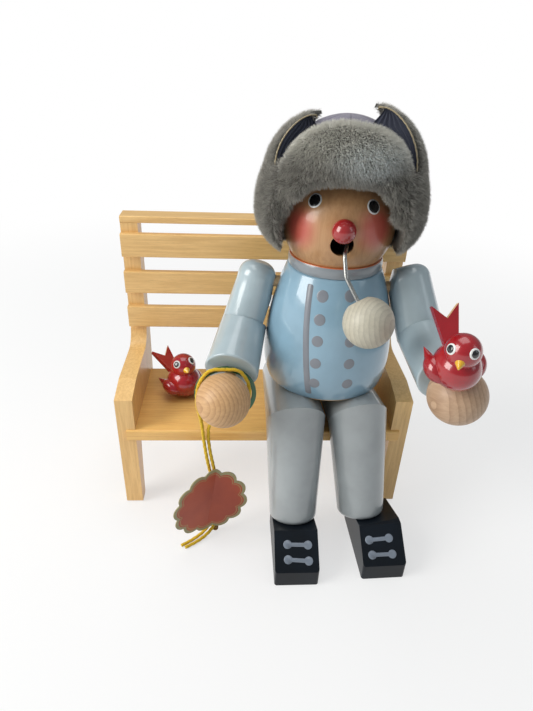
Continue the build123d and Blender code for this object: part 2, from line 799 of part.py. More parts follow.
def wrist_dowel(side):
    """The dowel from the cuff into the hand ball."""
    gap = wrist_gaps[side]
    length = 2 * wrist_dowel_depth + gap
    middle = gap / 2 - wrist_reach
    dowel = Pos(0, 0, middle) * Cylinder(wrist_dowel_diameter / 2, length)
    return arm_frame(side) * forearm_frame() * dowel


def hand(side):
    """The ball hand."""
    return arm_tip(side) * Sphere(hand_radius) - wrist_dowel(side)


def shoulder_dowel(side):
    """The dowel on which an arm turns, glued into the jacket."""
    sign = sides[side]
    inner = shoulder_reach - arm_top_diameters[side] / 2 - shoulder_dowel_seat
    outer = shoulder_reach + shoulder_dowel_seat / 2
    return Pos(sign * (inner + outer) / 2, 0, shoulder_height) * Rot(0, 90, 0) * Cylinder(
        shoulder_dowel_diameter / 2, outer - inner)


def shoulder_bore(side):
    """The bore of an arm round its dowel, with the running gap."""
    sign = sides[side]
    outer = shoulder_reach + shoulder_dowel_seat / 2 + running_gap
    return Pos(sign * outer / 2, 0, shoulder_height) * Rot(0, 90, 0) * Cylinder(
        shoulder_dowel_diameter / 2 + running_gap, outer)


def bowl_entry():
    """Where the stem meets the bowl's flat, in the figure's own frame."""
    middle = Vector(*bowl_place) + Vector(0, 0, head_height)
    last = Vector(stem_points[-1][0], stem_points[-1][1], stem_top_height + stem_points[-1][2])
    way = (last - middle).normalized()
    return middle, way


def pipe_stem():
    """The bent wire from a hole behind the nose, out of the mouth and into the bowl."""
    middle, way = bowl_entry()
    end = middle + way * (bowl_diameter / 2 - bowl_flat_depth - bowl_hole_depth)
    route = [Vector(x, y, stem_top_height + z) for x, y, z in stem_points]
    line = FilletPolyline(*route, end, radius=stem_radii + [stem_last_radius])
    section = Plane(route[0], z_dir=line % 0) * Circle(wire_diameter / 2)
    return sweep(section, path=line)


def pipe_bowl():
    """The ball bowl, flat where the stem enters it."""
    middle, way = bowl_entry()
    ball = Pos(middle) * Sphere(bowl_diameter / 2)
    flat = Plane(middle + way * (bowl_diameter / 2 - bowl_flat_depth), z_dir=way)
    ball = split(ball, bisect_by=flat, keep=Keep.BOTTOM)
    return ball - pipe_stem()


def bird_head_spot(head_turn):
    """The middle of a bird's head, turned to where it looks, in the bird's own frame."""
    return Pos(0, -bird_head_reach, bird_head_rise) * Rot(0, 0, head_turn)


def beak_axis(head_turn, reach):
    """A point at a reach along the beak's axis, from the middle of the head."""
    return bird_head_spot(head_turn) * Rot(90 + beak_drop, 0, 0) * Pos(0, 0, reach)


def bird_shapes(head_turn):
    """The pieces of one bird, its body's middle at the origin, looking along -Y."""
    stretch = bird_body_length / 2 / bird_body_radius
    body = scale(Rot(90, 0, 0) * Sphere(bird_body_radius), (1, stretch, 1))
    head_spot = bird_head_spot(head_turn)
    ball = head_spot * Sphere(bird_head_radius) - body
    beak = beak_axis(head_turn, bird_head_radius + beak_length / 4) * Cone(
        beak_radius, beak_radius / 8, beak_length)
    beak = beak - head_spot * Sphere(bird_head_radius)
    wings = {}
    for side, sign in sides.items():
        drop = outline(
            Line((0, wing_length / 2), (0, -wing_length / 2)),
            ThreePointArc((0, -wing_length / 2), (wing_radius, -wing_length / 5),
                          (wing_radius / 2, wing_length / 5)),
            Line((wing_radius / 2, wing_length / 5), (0, wing_length / 2)))
        wing = turned(drop)
        wing = Rot(wing_lift - 90, 0, 0) * wing
        wing = Pos(sign * wing_spread, wing_setback, 0) * Rot(0, 0, sign * -wing_splay) * wing
        wings[side] = wing - body - ball
    fork = make_face(Polyline(
        (-tail_root_width / 2, 0), (-tail_tip_width / 2, tail_length),
        (0, tail_length - tail_fork_depth), (tail_tip_width / 2, tail_length),
        (tail_root_width / 2, 0), close=True))
    tail = Pos(0, 0, -tail_thickness / 2) * extrude(fork, tail_thickness)
    tail = Pos(0, tail_setback, tail_rise) * Rot(tail_lift, 0, 0) * tail - body - ball
    pieces = {"body": body, "head": ball, "beak": beak, "tail": tail,
              "wing_right": wings["right"], "wing_left": wings["left"]}
    return pieces


def seat_bird_spot():
    """Where the middle of the seat's bird is, in the bench's frame."""
    x, y = seat_bird_place
    return Pos(x, y, seat_top + bird_body_radius - bird_foot_flat)


def seat_bird_frame():
    """The seat's bird, turned and leaning back, in the bench's frame."""
    return seat_bird_spot() * Rot(0, 0, seat_bird_turn) * Rot(seat_bird_nod, 0, 0)


def hand_bird_spot():
    """Where the middle of the other bird is, over the left hand, in the bench's frame."""
    return Pos((figure_frame * arm_tip("left")).position + Vector(*hand_bird_place))


def hand_bird_frame():
    """The bird on the hand, turned, nodding and tilted, in the bench's frame."""
    turned_spot = hand_bird_spot() * Rot(0, 0, hand_bird_turn) * Rot(hand_bird_nod, 0, 0)
    return turned_spot * Rot(0, hand_bird_tilt, 0)


def seat_bird_peg():
    """The seat bird's peg, through its flat foot into the seat."""
    return seat_bird_spot() * Pos(0, 0, -bird_body_radius) * Cylinder(
        bird_peg_diameter / 2, bird_peg_length)


def hand_bird_peg():
    """The hand bird's peg, from its body towards the middle of the hand ball."""
    reach = Vector(*hand_bird_place)
    hand_middle = (figure_frame * arm_tip("left")).position
    seam = Plane(hand_middle + reach.normalized() * hand_radius, z_dir=reach)
    return seam * Cylinder(bird_peg_diameter / 2, bird_peg_length)


def seat_block():
    """The seat's top, which flattens the bird's foot."""
    x, y = seat_bird_place
    return Pos(x, y, seat_top - overrun / 2) * Box(overrun, overrun, overrun)


def keep_bird(name, frame, support, peg):
    """File the pieces of one bird, seated on its support and pinned by its peg."""
    for piece, solid in bird_shapes(bird_head_turns[name]).items():
        solid = frame * solid - support
        if piece == "body":
            solid = solid - peg
        keep(f"{name}_{piece}", place(solid))
    keep(f"{name}_peg", place(peg))


def wrist_point(depth):
    """Where the right wrist dowel's axis crosses an upright plane at a depth."""
    arm = figure_frame * arm_frame("right")
    near = (arm * Pos(forearm_point(wrist_reach))).position
    far = (arm * Pos(forearm_point(hand_reach))).position
    return near + (far - near) * ((depth - near.Y) / (far.Y - near.Y))


def wrist_ring():
    """The flat ring that hangs on the right wrist dowel, between cuff and hand."""
    outer = ring_outer_diameter / 2
    inner = outer - ring_width
    spot = wrist_point(ring_depth)
    drop = sqrt(inner ** 2 - ring_offset ** 2) - wrist_dowel_diameter / 2 - ring_lift
    band = Cylinder(outer, ring_thickness) - Cylinder(inner, ring_thickness)
    return Pos(spot.X + ring_offset, ring_depth, spot.Z - drop) * Rot(90, 0, 0) * band


def cord_line(name):
    """A strand's middle line: straight runs, joined by arcs as wide as the runs allow."""
    points = [Vector(*point) for point in cord_routes[name]]
    radii = []
    for before, middle, after in zip(points, points[1:], points[2:]):
        arriving, leaving = middle - before, after - middle
        half_turn = radians(arriving.get_angle(leaving)) / 2
        radii.append(bend_share * min(arriving.length, leaving.length) / tan(half_turn))
    return FilletPolyline(*points, radius=radii), radii


def tag_cord(name):
    """One strand of the doubled cord, from the middle of its loop to its tail."""
    line, _ = cord_line(name)
    section = Plane(line @ 0, z_dir=line % 0) * Circle(cord_diameter / 2)
    return sweep(section, path=line)


def tag_knot():
    """The knot beside the strands, below the card."""
    return Pos(*knot_place) * Sphere(knot_radius)


def tag_card():
    """The scalloped card, its two halves turned forwards and back about the fold."""
    reach = card_radius - card_scallop_radius
    face = Circle(reach) + PolarLocations(reach, card_scallops) * Circle(card_scallop_radius)
    card = extrude(Plane.XZ * face, card_thickness / 2, both=True)
    card = Pos(-card_fold_offset, 0, 0) * card
    left = split(card, bisect_by=Plane.YZ, keep=Keep.BOTTOM)
    right = split(card, bisect_by=Plane.YZ, keep=Keep.TOP)
    fold = Cylinder(card_thickness / 2, 2 * reach)
    folded = Rot(0, 0, card_left_fold) * left + Rot(0, 0, card_right_fold) * right + fold
    frame = Pos(*card_place) * Rot(0, card_roll, 0) * Rot(card_pitch, 0, 0)
    return frame * Pos(card_fold_offset, 0, 0) * folded


# The whole object's box gives the origin: halfway between its outermost faces, which are
# the bench's end and the left hand, and the hand bird's beak or a toe and the posts.
left_hand_centre = (figure_frame * arm_tip("left")).position
beak_tip = hand_bird_frame() * beak_axis(
    bird_head_turns["hand_bird"], bird_head_radius + 3 * beak_length / 4)
origin_x = (left_hand_centre.X + hand_radius - half_width) / 2
origin_y = (min(toe_front, beak_tip.position.Y) + post_back) / 2
bench_place = Pos(-origin_x, -origin_y, 0)
figure_place = bench_place * figure_frame


def place(solid):
    """From the bench's drawing frame to the part's frame."""
    return bench_place * solid


def dress(solid):
    """From the figure's own frame to the part's frame."""
    return figure_place * solid


parts = {}


def keep(name, solid):
    """File a finished solid, or a group of them, under its node's name."""
    if isinstance(solid, (list, tuple)):
        solid = Compound(children=list(solid))
    parts[name] = solid


for side, sign in sides.items():
    keep(f"side_frame_{side}", place(side_frame(sign)))
    keep(f"thigh_{side}", place(thigh(side)))
    keep(f"lower_leg_{side}", place(lower_leg(side)))
    keep(f"shoe_{side}", place(shoe(side)))
keep("seat_board", place(seat_board() - [seat_dowel(side) for side in sides] - seat_bird_peg()))
for index, name in enumerate(("upper", "middle", "lower")):
    keep(f"back_slat_{name}", place(slat(index)))
keep("top_rail", place(top_rail()))
keep("ankle_dowels", [place(ankle_dowel(side)) for side in sides])
keep("seat_dowels", [place(seat_dowel(side)) for side in sides])
keep("base_disc", dress(base_disc()))
keep("incense_plate", dress(incense_plate()))
keep("plate_pin", dress(plate_pin()))
keep("jacket", dress(jacket()))
keep("collar", dress(collar()))
keep("head", dress(head()))
keep("nose", dress(nose()))
keep("hat_crown", dress(crown()))
keep("hat_front_flap", dress(front_flap()))
keep("hat_neck_band", dress(neck_band()))
keep("pipe_stem", dress(pipe_stem()))
keep("pipe_bowl", dress(pipe_bowl()))
for side in sides:
    keep(f"hat_ear_flap_{side}", dress(ear_flap(side)))
    keep(f"hat_lining_{side}", dress(ear_lining(side)))
    keep(f"upper_arm_{side}", dress(upper_arm(side)))
    keep(f"forearm_{side}", dress(forearm(side)))
    keep(f"wrist_dowel_{side}", dress(wrist_dowel(side)))
    keep(f"shoulder_dowel_{side}", dress(shoulder_dowel(side)))
keep("hand_right", dress(hand("right")))
keep("hand_left", place(figure_frame * hand("left") - hand_bird_peg()))
keep_bird("seat_bird", seat_bird_frame(), seat_block(), seat_bird_peg())
keep_bird("hand_bird", hand_bird_frame(), figure_frame * arm_tip("left") * Sphere(hand_radius),
          hand_bird_peg())
keep("wrist_ring", place(wrist_ring()))
keep("tag_card", place(tag_card()))
keep("tag_knot", place(tag_knot()))
for name in cord_routes:
    keep(f"tag_cord_{name}", place(tag_cord(name)))
    line, radii = cord_line(name)
    print("cord", name, "length", round(line.length, 1), "radii", [round(r, 1) for r in radii])

os.makedirs("parts", exist_ok=True)
for name, solid in parts.items():
    export_step(solid, f"parts/{name}.step")
    print(name, round(solid.volume, 1))
print("origin", origin_x, origin_y)
print("count", len(parts))
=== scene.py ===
import json
from math import asin, atan2, cos, degrees, pi, radians, sin, sqrt, tan

import bmesh
import bpy
from mathutils import Matrix, Vector
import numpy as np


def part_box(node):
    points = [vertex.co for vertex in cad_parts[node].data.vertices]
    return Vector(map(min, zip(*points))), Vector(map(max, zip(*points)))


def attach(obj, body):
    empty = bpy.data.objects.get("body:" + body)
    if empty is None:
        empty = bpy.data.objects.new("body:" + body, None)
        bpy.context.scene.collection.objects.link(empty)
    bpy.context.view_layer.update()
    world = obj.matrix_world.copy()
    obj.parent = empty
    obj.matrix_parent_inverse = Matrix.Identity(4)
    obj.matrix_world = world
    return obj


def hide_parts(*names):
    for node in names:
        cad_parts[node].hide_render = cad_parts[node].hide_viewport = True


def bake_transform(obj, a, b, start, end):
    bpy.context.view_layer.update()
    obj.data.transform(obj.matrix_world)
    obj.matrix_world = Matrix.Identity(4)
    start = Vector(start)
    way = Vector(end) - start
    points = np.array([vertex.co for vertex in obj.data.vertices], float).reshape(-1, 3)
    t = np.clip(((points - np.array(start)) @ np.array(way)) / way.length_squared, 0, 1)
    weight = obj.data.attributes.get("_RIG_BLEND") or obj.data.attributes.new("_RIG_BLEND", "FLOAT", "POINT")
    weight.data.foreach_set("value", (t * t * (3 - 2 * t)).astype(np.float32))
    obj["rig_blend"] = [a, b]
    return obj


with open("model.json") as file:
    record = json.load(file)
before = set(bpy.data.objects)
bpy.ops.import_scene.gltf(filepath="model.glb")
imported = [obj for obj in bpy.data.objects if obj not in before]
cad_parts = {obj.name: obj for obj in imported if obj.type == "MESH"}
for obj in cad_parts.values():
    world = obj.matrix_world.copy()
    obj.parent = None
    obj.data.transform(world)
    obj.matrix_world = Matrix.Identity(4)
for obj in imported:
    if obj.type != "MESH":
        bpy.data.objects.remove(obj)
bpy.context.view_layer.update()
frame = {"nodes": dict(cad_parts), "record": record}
nodes = frame["nodes"]

# Everything is drawn in millimetres in the bench's or the figure's frame, then put in the
# row frame in metres. The bench's right end and the front of its legs give the place.
# The figure sits turned on the bench, and its hat sits turned on its head.
HALF_BENCH = 85.0
FIGURE_SPOT, FIGURE_TURN, HAT_TURN = (34.5, 20.0, 0), -5.5, -5
bench_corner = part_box("side_frame_right")[0]
BENCH = Matrix.Translation((bench_corner.x * 1000 + HALF_BENCH, bench_corner.y * 1000, 0))
FIGURE = BENCH @ Matrix.Translation(FIGURE_SPOT) @ Matrix.Rotation(radians(FIGURE_TURN), 4, "Z")
METRES = Matrix.Scale(0.001, 4)
ON_FIGURE = METRES @ FIGURE

HEAD_RADIUS, HEAD_HEIGHT = 28.5, 176.5
BELLY_RADIUS, BELLY_HEIGHT, UPPER_CURVE, LOWER_CURVE = 35.5, 102.5, 129.31, 40.45
CROWN_RADIUS, CROWN_FOOT, CROWN_SIDE, CROWN_TOP = 29.5, 201.5, 206.0, 226.5
CROWN_DOME = CROWN_TOP - CROWN_SIDE
CROWN_CURVE = (CROWN_RADIUS ** 2 + CROWN_DOME ** 2) / (2 * CROWN_DOME)


# ---------------------------------------------------------------- shader helpers

def linear(red, green, blue):
    """A colour as it is seen, 0 to 255, as the shader's linear colour."""
    def one(value):
        value /= 255
        return value / 12.92 if value <= 0.04045 else ((value + 0.055) / 1.055) ** 2.4
    return (one(red), one(green), one(blue), 1.0)


class Nodes:
    """A node tree, and the few nodes that the materials are made of."""

    def __init__(self, tree):
        self.tree = tree

    def add(self, kind, inputs=None, **settings):
        node = self.tree.nodes.new(kind)
        for name, value in settings.items():
            setattr(node, name, value)
        for name, value in (inputs or {}).items():
            socket = node.inputs[name]
            if isinstance(value, bpy.types.NodeSocket):
                self.tree.links.new(value, socket)
            else:
                socket.default_value = value
        return node

    def sum(self, operation, first, second=0.0, third=0.0):
        node = self.add("ShaderNodeMath", {0: first, 1: second, 2: third}, operation=operation)
        return node.outputs[0]

    def vector(self, operation, first, second=(0, 0, 0)):
        node = self.add("ShaderNodeVectorMath", {0: first, 1: second}, operation=operation)
        return node.outputs["Value" if operation in ("LENGTH", "DISTANCE") else 0]

    def between(self, value, low, high):
        """0 where the value is at low, 1 where it is at high, with a soft change between."""
        node = self.add("ShaderNodeMapRange", {"Value": value, "From Min": low, "From Max": high},
                        interpolation_type="SMOOTHSTEP")
        return node.outputs["Result"]

    def mix(self, share, first, second):
        node = self.add("ShaderNodeMix", {"Factor": share, 6: first, 7: second}, data_type="RGBA")
        return node.outputs[2]

    def noise(self, place, scale, detail=3.0, roughness=0.55, distortion=0.0):
        node = self.add("ShaderNodeTexNoise", {
            "Vector": place, "Scale": scale, "Detail": detail, "Roughness": roughness,
            "Distortion": distortion})
        return node.outputs[0]

    def object_place(self):
        return self.add("ShaderNodeTexCoord").outputs["Object"]

    def height(self, place):
        return self.add("ShaderNodeSeparateXYZ", {0: place}).outputs["Z"]

    def attribute(self, name):
        return self.add("ShaderNodeAttribute", attribute_name=name).outputs["Fac"]

    def group(self, group, inputs):
        return self.add("ShaderNodeGroup", inputs, node_tree=group)

    def bump(self, height, strength, distance):
        node = self.add("ShaderNodeBump", {"Height": height, "Strength": strength,
                                           "Distance": distance})
        return node.outputs["Normal"]


def shader_group(name, inputs, outputs):
    """An empty node group with named sockets: its nodes, its input and its output."""
    tree = bpy.data.node_groups.new(name, "ShaderNodeTree")
    for socket, kind in inputs.items():
        tree.interface.new_socket(name=socket, in_out="INPUT", socket_type=kind)
    for socket in outputs:
        tree.interface.new_socket(name=socket, in_out="OUTPUT", socket_type="NodeSocketFloat")
    group = Nodes(tree)
    return tree, group, group.add("NodeGroupInput"), group.add("NodeGroupOutput")


def grain_group():
    """Wood grain: fine pores and wider streaks, both drawn out along the timber."""
    tree, g, given, result = shader_group(
        "wood grain", {"Place": "NodeSocketVector", "Stretch": "NodeSocketVector"},
        ("Streak", "Pore", "Height"))
    drawn = g.vector("MULTIPLY", given.outputs["Place"], given.outputs["Stretch"])
    streak = g.between(g.noise(drawn, 0.35, 4.0, 0.6, 0.6), 0.33, 0.68)
    pore = g.between(g.noise(drawn, 2.2, 3.0, 0.65), 0.54, 0.74)
    height = g.sum("MULTIPLY_ADD", streak, 0.35, g.sum("MULTIPLY", pore, -0.65))
    for name, value in (("Streak", streak), ("Pore", pore), ("Height", height)):
        tree.links.new(value, result.inputs[name])
    return tree


def rings_group():
    """Growth rings round a trunk's axis: a soft light side and a sharper dark edge each."""
    tree, g, given, result = shader_group(
        "growth rings", {"Place": "NodeSocketVector", "Pitch": "NodeSocketFloat"}, ("Ring",))
    place = given.outputs["Place"]
    out = g.vector("LENGTH", g.vector("MULTIPLY", place, (1.0, 1.0, 0.0)))
    out = g.sum("MULTIPLY_ADD", g.noise(place, 45.0, 2.0), 0.004, out)
    saw = g.sum("FRACT", g.sum("DIVIDE", out, given.outputs["Pitch"]))
    tree.links.new(g.sum("POWER", saw, 2.6), result.inputs["Ring"])
    return tree


def mottle_group():
    """Slow and fine unevenness of a hand dipped colour, about 0.5 everywhere."""
    tree, g, given, result = shader_group(
        "mottle", {"Place": "NodeSocketVector"}, ("Slow", "Fine"))
    tree.links.new(g.noise(given.outputs["Place"], 55.0, 3.0), result.inputs["Slow"])
    tree.links.new(g.noise(given.outputs["Place"], 1400.0, 2.0), result.inputs["Fine"])
    return tree


def new_material(name, roughness, coat=0.0, coat_roughness=0.1, metallic=0.0, sheen=0.0):
    """A material with its uniform values on the shader: (material, nodes, shader)."""
    material = bpy.data.materials.new(name)
    material.use_nodes = True
    shader = material.node_tree.nodes["Principled BSDF"]
    for socket, value in (("Roughness", roughness), ("Metallic", metallic),
                          ("Coat Weight", coat), ("Coat Roughness", coat_roughness),
                          ("Sheen Weight", sheen)):
        shader.inputs[socket].default_value = value
    return material, Nodes(material.node_tree), shader


def colour_in(nodes_of, shader, colour, normal=None):
    nodes_of.tree.links.new(colour, shader.inputs["Base Color"])
    if normal is not None:
        nodes_of.tree.links.new(normal, shader.inputs["Normal"])


GRAIN, RINGS, MOTTLE = grain_group(), rings_group(), mottle_group()
ACROSS, ALONG = 1900.0, 95.0
STRETCH = {"X": (ALONG, ACROSS, ACROSS), "Z": (ACROSS, ACROSS, ALONG)}
PORE_DARKER = 0.72


def lacquered_wood(name, light, dark, along, coat=0.35, roughness=0.42):
    """Clear lacquer over wood whose grain runs along an axis."""
    material, n, shader = new_material(name, roughness, coat, 0.22)
    place = n.object_place()
    grain = n.group(GRAIN, {"Place": place, "Stretch": STRETCH[along]})
    slow = n.group(MOTTLE, {"Place": place}).outputs["Slow"]
    tone = n.sum("MULTIPLY_ADD", slow, 0.35, n.sum("MULTIPLY", grain.outputs["Streak"], 0.6))
    colour = n.mix(tone, linear(*light), linear(*dark))
    pores = n.sum("MULTIPLY", grain.outputs["Pore"], 0.3)
    colour = n.mix(pores, colour, linear(*[part * PORE_DARKER for part in dark]))
    colour_in(n, shader, colour, n.bump(grain.outputs["Height"], 0.6, 0.00004))
    return material


def ringed_wood(name, light, dark, trunk, pitch):
    """Bare turned wood: growth rings about a trunk's axis, given by a matrix in metres."""
    material, n, shader = new_material(name, 0.5, 0.12, 0.3)
    inside = trunk.inverted()
    turned = n.add("ShaderNodeMapping", {
        "Vector": n.object_place(), "Location": inside.to_translation(),
        "Rotation": inside.to_euler()}, vector_type="POINT").outputs[0]
    ring = n.group(RINGS, {"Place": turned, "Pitch": pitch}).outputs["Ring"]
    grain = n.group(GRAIN, {"Place": turned, "Stretch": STRETCH["Z"]})
    tone = n.sum("MULTIPLY_ADD", ring, 0.6, n.sum("MULTIPLY", grain.outputs["Streak"], 0.3))
    colour = n.mix(tone, linear(*light), linear(*dark))
    colour_in(n, shader, colour, n.bump(grain.outputs["Height"], 0.4, 0.00003))
    return material


def lacquer(name, colour, shade, roughness, coat, coat_roughness):
    """Coloured lacquer with a clear coat, a little uneven and not quite flat."""
    material, n, shader = new_material(name, roughness, coat, coat_roughness)
    mottle = n.group(MOTTLE, {"Place": n.object_place()})
    darker = [part * (1 - shade) for part in colour]
    tone = n.between(mottle.outputs["Slow"], 0.3, 0.7)
    height = n.sum("MULTIPLY_ADD", mottle.outputs["Fine"], 0.1, mottle.outputs["Slow"])
    colour_in(n, shader, n.mix(tone, linear(*colour), linear(*darker)),
              n.bump(height, 0.25, 0.00008))
    return material


def cloth(name, colour, shade, grain_scale, depth, sheen):
    """Felt, cloth or yarn: matt, fibrous, with a slight sheen."""
    material, n, shader = new_material(name, 0.9, sheen=sheen)
    place = n.object_place()
    fibre = n.noise(place, grain_scale, 4.0, 0.7, 1.5)
    slow = n.group(MOTTLE, {"Place": place}).outputs["Slow"]
    tone = n.sum("MULTIPLY_ADD", n.between(fibre, 0.35, 0.7), 0.7, n.sum("MULTIPLY", slow, 0.3))
    colour_in(n, shader, n.mix(tone, linear(*colour), linear(*shade)),
              n.bump(fibre, 0.8, depth))
    return material


def metal(name, colour, roughness):
    """Bare metal with fine drawing marks."""
    material, n, shader = new_material(name, roughness, metallic=1.0)
    fine = n.group(MOTTLE, {"Place": n.object_place()}).outputs["Fine"]
    darker = [part * 0.82 for part in colour]
    colour_in(n, shader, n.mix(n.between(fine, 0.35, 0.65), linear(*colour), linear(*darker)),
              n.bump(fine, 0.2, 0.00003))
    return material


COLLAR_LIGHT, COLLAR_DARK, COLLAR_EDGE = (142, 148, 153), (128, 134, 140), (196, 104, 54)
COLLAR_EDGE_START, COLLAR_EDGE_FULL = 0.15955, 0.1598


def collar_material():
    """The collar's lilac grey lacquer, with the bare orange edge under the head."""
    material, n, shader = new_material("collar lacquer", 0.35, 0.7, 0.12)
    place = n.object_place()
    slow = n.group(MOTTLE, {"Place": place}).outputs["Slow"]
    colour = n.mix(slow, linear(*COLLAR_LIGHT), linear(*COLLAR_DARK))
    edge = n.between(n.height(place), COLLAR_EDGE_START, COLLAR_EDGE_FULL)
    colour_in(n, shader, n.mix(edge, colour, linear(*COLLAR_EDGE)))
    return material


FACE_LIGHT, FACE_DARK, CHEEK_RED, MOUTH_SHADE = (
    (196, 152, 106), (170, 124, 82), (192, 78, 70), (34, 27, 22))
CHEEKS = ((-48.0, 178.0), (34.5, 180.0))
CHEEK_EDGE, CHEEK_FULL = 0.0145, 0.0035
# Where the painted shade inside the mouth hole begins and is full, in metres from the head's middle.
MOUTH_SHADE_START, MOUTH_SHADE_FULL = 0.0279, 0.0262


def face_material():
    """The head: upright grain under clear lacquer, airbrushed cheeks, painted shade inside the mouth hole.
    """
    material, n, shader = new_material("face wood", 0.4, 0.45, 0.16)
    place = n.object_place()
    grain = n.group(GRAIN, {"Place": place, "Stretch": (1500.0, 1500.0, 45.0)})
    slow = n.group(MOTTLE, {"Place": place}).outputs["Slow"]
    tone = n.sum("MULTIPLY_ADD", slow, 0.5, n.sum("MULTIPLY", grain.outputs["Streak"], 0.5))
    colour = n.mix(tone, linear(*FACE_LIGHT), linear(*FACE_DARK))
    blush = 0.0
    for azimuth, height in CHEEKS:
        away = n.vector("DISTANCE", place, tuple(ON_FIGURE @ head_point(azimuth, height)))
        blush = n.sum("MAXIMUM", n.between(away, CHEEK_EDGE, CHEEK_FULL), blush)
    speck = n.noise(place, 2600.0, 1.0)
    blush = n.sum("MULTIPLY", blush, n.sum("MULTIPLY_ADD", speck, 0.3, 0.72))
    colour = n.mix(blush, colour, linear(*CHEEK_RED))
    # Painted shade: the head's inside, seen through the mouth hole, is darkened.
    deep = n.vector("DISTANCE", place, tuple(ON_FIGURE @ Vector((0, 0, HEAD_HEIGHT))))
    colour = n.mix(n.between(deep, MOUTH_SHADE_START, MOUTH_SHADE_FULL), colour, linear(*MOUTH_SHADE))
    colour_in(n, shader, colour, n.bump(grain.outputs["Height"], 0.3, 0.00002))
    return material


# Pile colours: root, tip, the painted light on the front flap's top, and the front flap's painted silvery
# glint.
FUR_ROOT, FUR_TIP, FUR_TOP_LIGHT, FUR_GLINT = (
    (98, 95, 88), (216, 212, 202), (226, 224, 214), (250, 255, 255))
TOP_LIGHT_START, TOP_LIGHT_FULL = 0.206, 0.218
GLINT_SPOT, GLINT_REACH = (7.5, -35.0, 212.0), (0.0225, 0.03, 0.012)


def fur_material(name, glinted=False):
    """Pile: dark at the root, pale at the tip; the front flap gets painted light towards its top and a
    painted silvery glint.
    """
    material, n, shader = new_material(name, 0.62, sheen=0.15)
    place = n.object_place()
    clump = n.between(n.noise(place, 260.0, 2.0), 0.3, 0.7)
    bright = n.sum("MULTIPLY_ADD", n.attribute("shade"), 0.5, n.sum("MULTIPLY", clump, 0.4))
    tone = n.sum("MULTIPLY", n.attribute("tip"), n.sum("ADD", bright, 0.25))
    colour = n.mix(tone, linear(*FUR_ROOT), linear(*FUR_TIP))
    # Painted light: the pile grows paler towards the flap's top, and a speckled silvery glint, partly
    # metallic, is painted about one spot.
    if glinted:
        away = n.vector("SUBTRACT", place, tuple(ON_FIGURE @ Vector(GLINT_SPOT)))
        away = n.vector("LENGTH", n.vector("DIVIDE", away, GLINT_REACH))
        glint_speckle = n.between(n.noise(place, 1100.0, 3.0, 0.75), 0.36, 0.6)
        painted_glint = n.sum("MULTIPLY", n.between(away, 1.0, 0.3), glint_speckle)
        painted_top_light = n.sum("MULTIPLY", n.between(n.height(place), TOP_LIGHT_START, TOP_LIGHT_FULL), 0.8)
        colour = n.mix(painted_top_light, colour, linear(*FUR_TOP_LIGHT))
        colour = n.mix(painted_glint, colour, linear(*FUR_GLINT))
        n.tree.links.new(n.sum("MULTIPLY", painted_glint, 0.55), shader.inputs["Metallic"])
    colour_in(n, shader, colour)
    return material


# ---------------------------------------------------------------- places on the figure

def round_axis(level, turn, height):
    """A point at a distance from the figure's axis, turned from the face's middle."""
    return Vector((level * sin(turn), -level * cos(turn), height))


def turn_of(place):
    """The turn of a place about the figure's axis, from the face's middle, in degrees."""
    return degrees(atan2(place.x, -place.y))


def head_point(azimuth, height):
    """A point on the head ball, in the figure's frame, turned from the face's middle."""
    rise = height - HEAD_HEIGHT
    return round_axis(sqrt(HEAD_RADIUS ** 2 - rise ** 2), radians(azimuth), height)


def on_ball(middle, radius, towards):
    """Turns (across, up, lift) into a point on a ball, about the spot towards a point."""
    out = (towards - middle).normalized()
    across = Vector((0, 0, 1)).cross(out).normalized()
    up = out.cross(across)

    def spot(u, v, lift):
        way = (out + across * (u / radius) + up * (v / radius)).normalized()
        return middle + way * (radius + lift)
    return spot


def jacket_radius(height):
    """The jacket's outer radius at a height above the floor."""
    rise = height - BELLY_HEIGHT
    curve = UPPER_CURVE if rise >= 0 else LOWER_CURVE
    return BELLY_RADIUS - curve + sqrt(curve ** 2 - rise ** 2)


def on_jacket(azimuth, height):
    """Turns (across, up, lift) into a point on the jacket, about a spot on it."""
    def spot(u, v, lift):
        level = jacket_radius(height + v)
        return round_axis(level + lift, radians(azimuth) + u / level, height + v)
    return spot


# ---------------------------------------------------------------- mesh helpers

def linked(name, data):
    """An object of a mesh, a lamp or a camera, in the scene."""
    obj = bpy.data.objects.new(name, data)
    bpy.context.scene.collection.objects.link(obj)
    return obj


def mesh_piece(name, points, faces, material):
    """An object from points in the row frame, in metres, and faces."""
    mesh = bpy.data.meshes.new(name)
    mesh.from_pydata([tuple(point) for point in points], [], faces)
    mesh.validate()
    return piece_of(name, mesh, [material])


def piece_of(name, mesh, materials, smooth=True):
    """An object of a finished mesh, its faces pointing outwards."""
    work = bmesh.new()
    work.from_mesh(mesh)
    bmesh.ops.recalc_face_normals(work, faces=work.faces[:])
    for face in work.faces:
        face.smooth = smooth
    work.to_mesh(mesh)
    work.free()
    mesh.materials.clear()
    for material in materials:
        mesh.materials.append(material)
    return linked(name, mesh)


def add_grid(points, faces, rows, closed=True):
    """Joins equal rows of points with quads; closed rows are rings. Gives its end rows."""
    first = len(points)
    wide = len(rows[0])
    for row in rows:
        points.extend(row)
    for line in range(len(rows) - 1):
        for spot in range(wide if closed else wide - 1):
            a = first + line * wide + spot
            b = first + line * wide + (spot + 1) % wide
            faces.append((a, b, b + wide, a + wide))
    return first, first + (len(rows) - 1) * wide


def add_cap(points, faces, ring, around, tip):
    """Closes a ring of points with a fan to a middle point."""
    middle = len(points)
    points.append(tip)
    for k in range(around):
        faces.append((ring + k, ring + (k + 1) % around, middle))


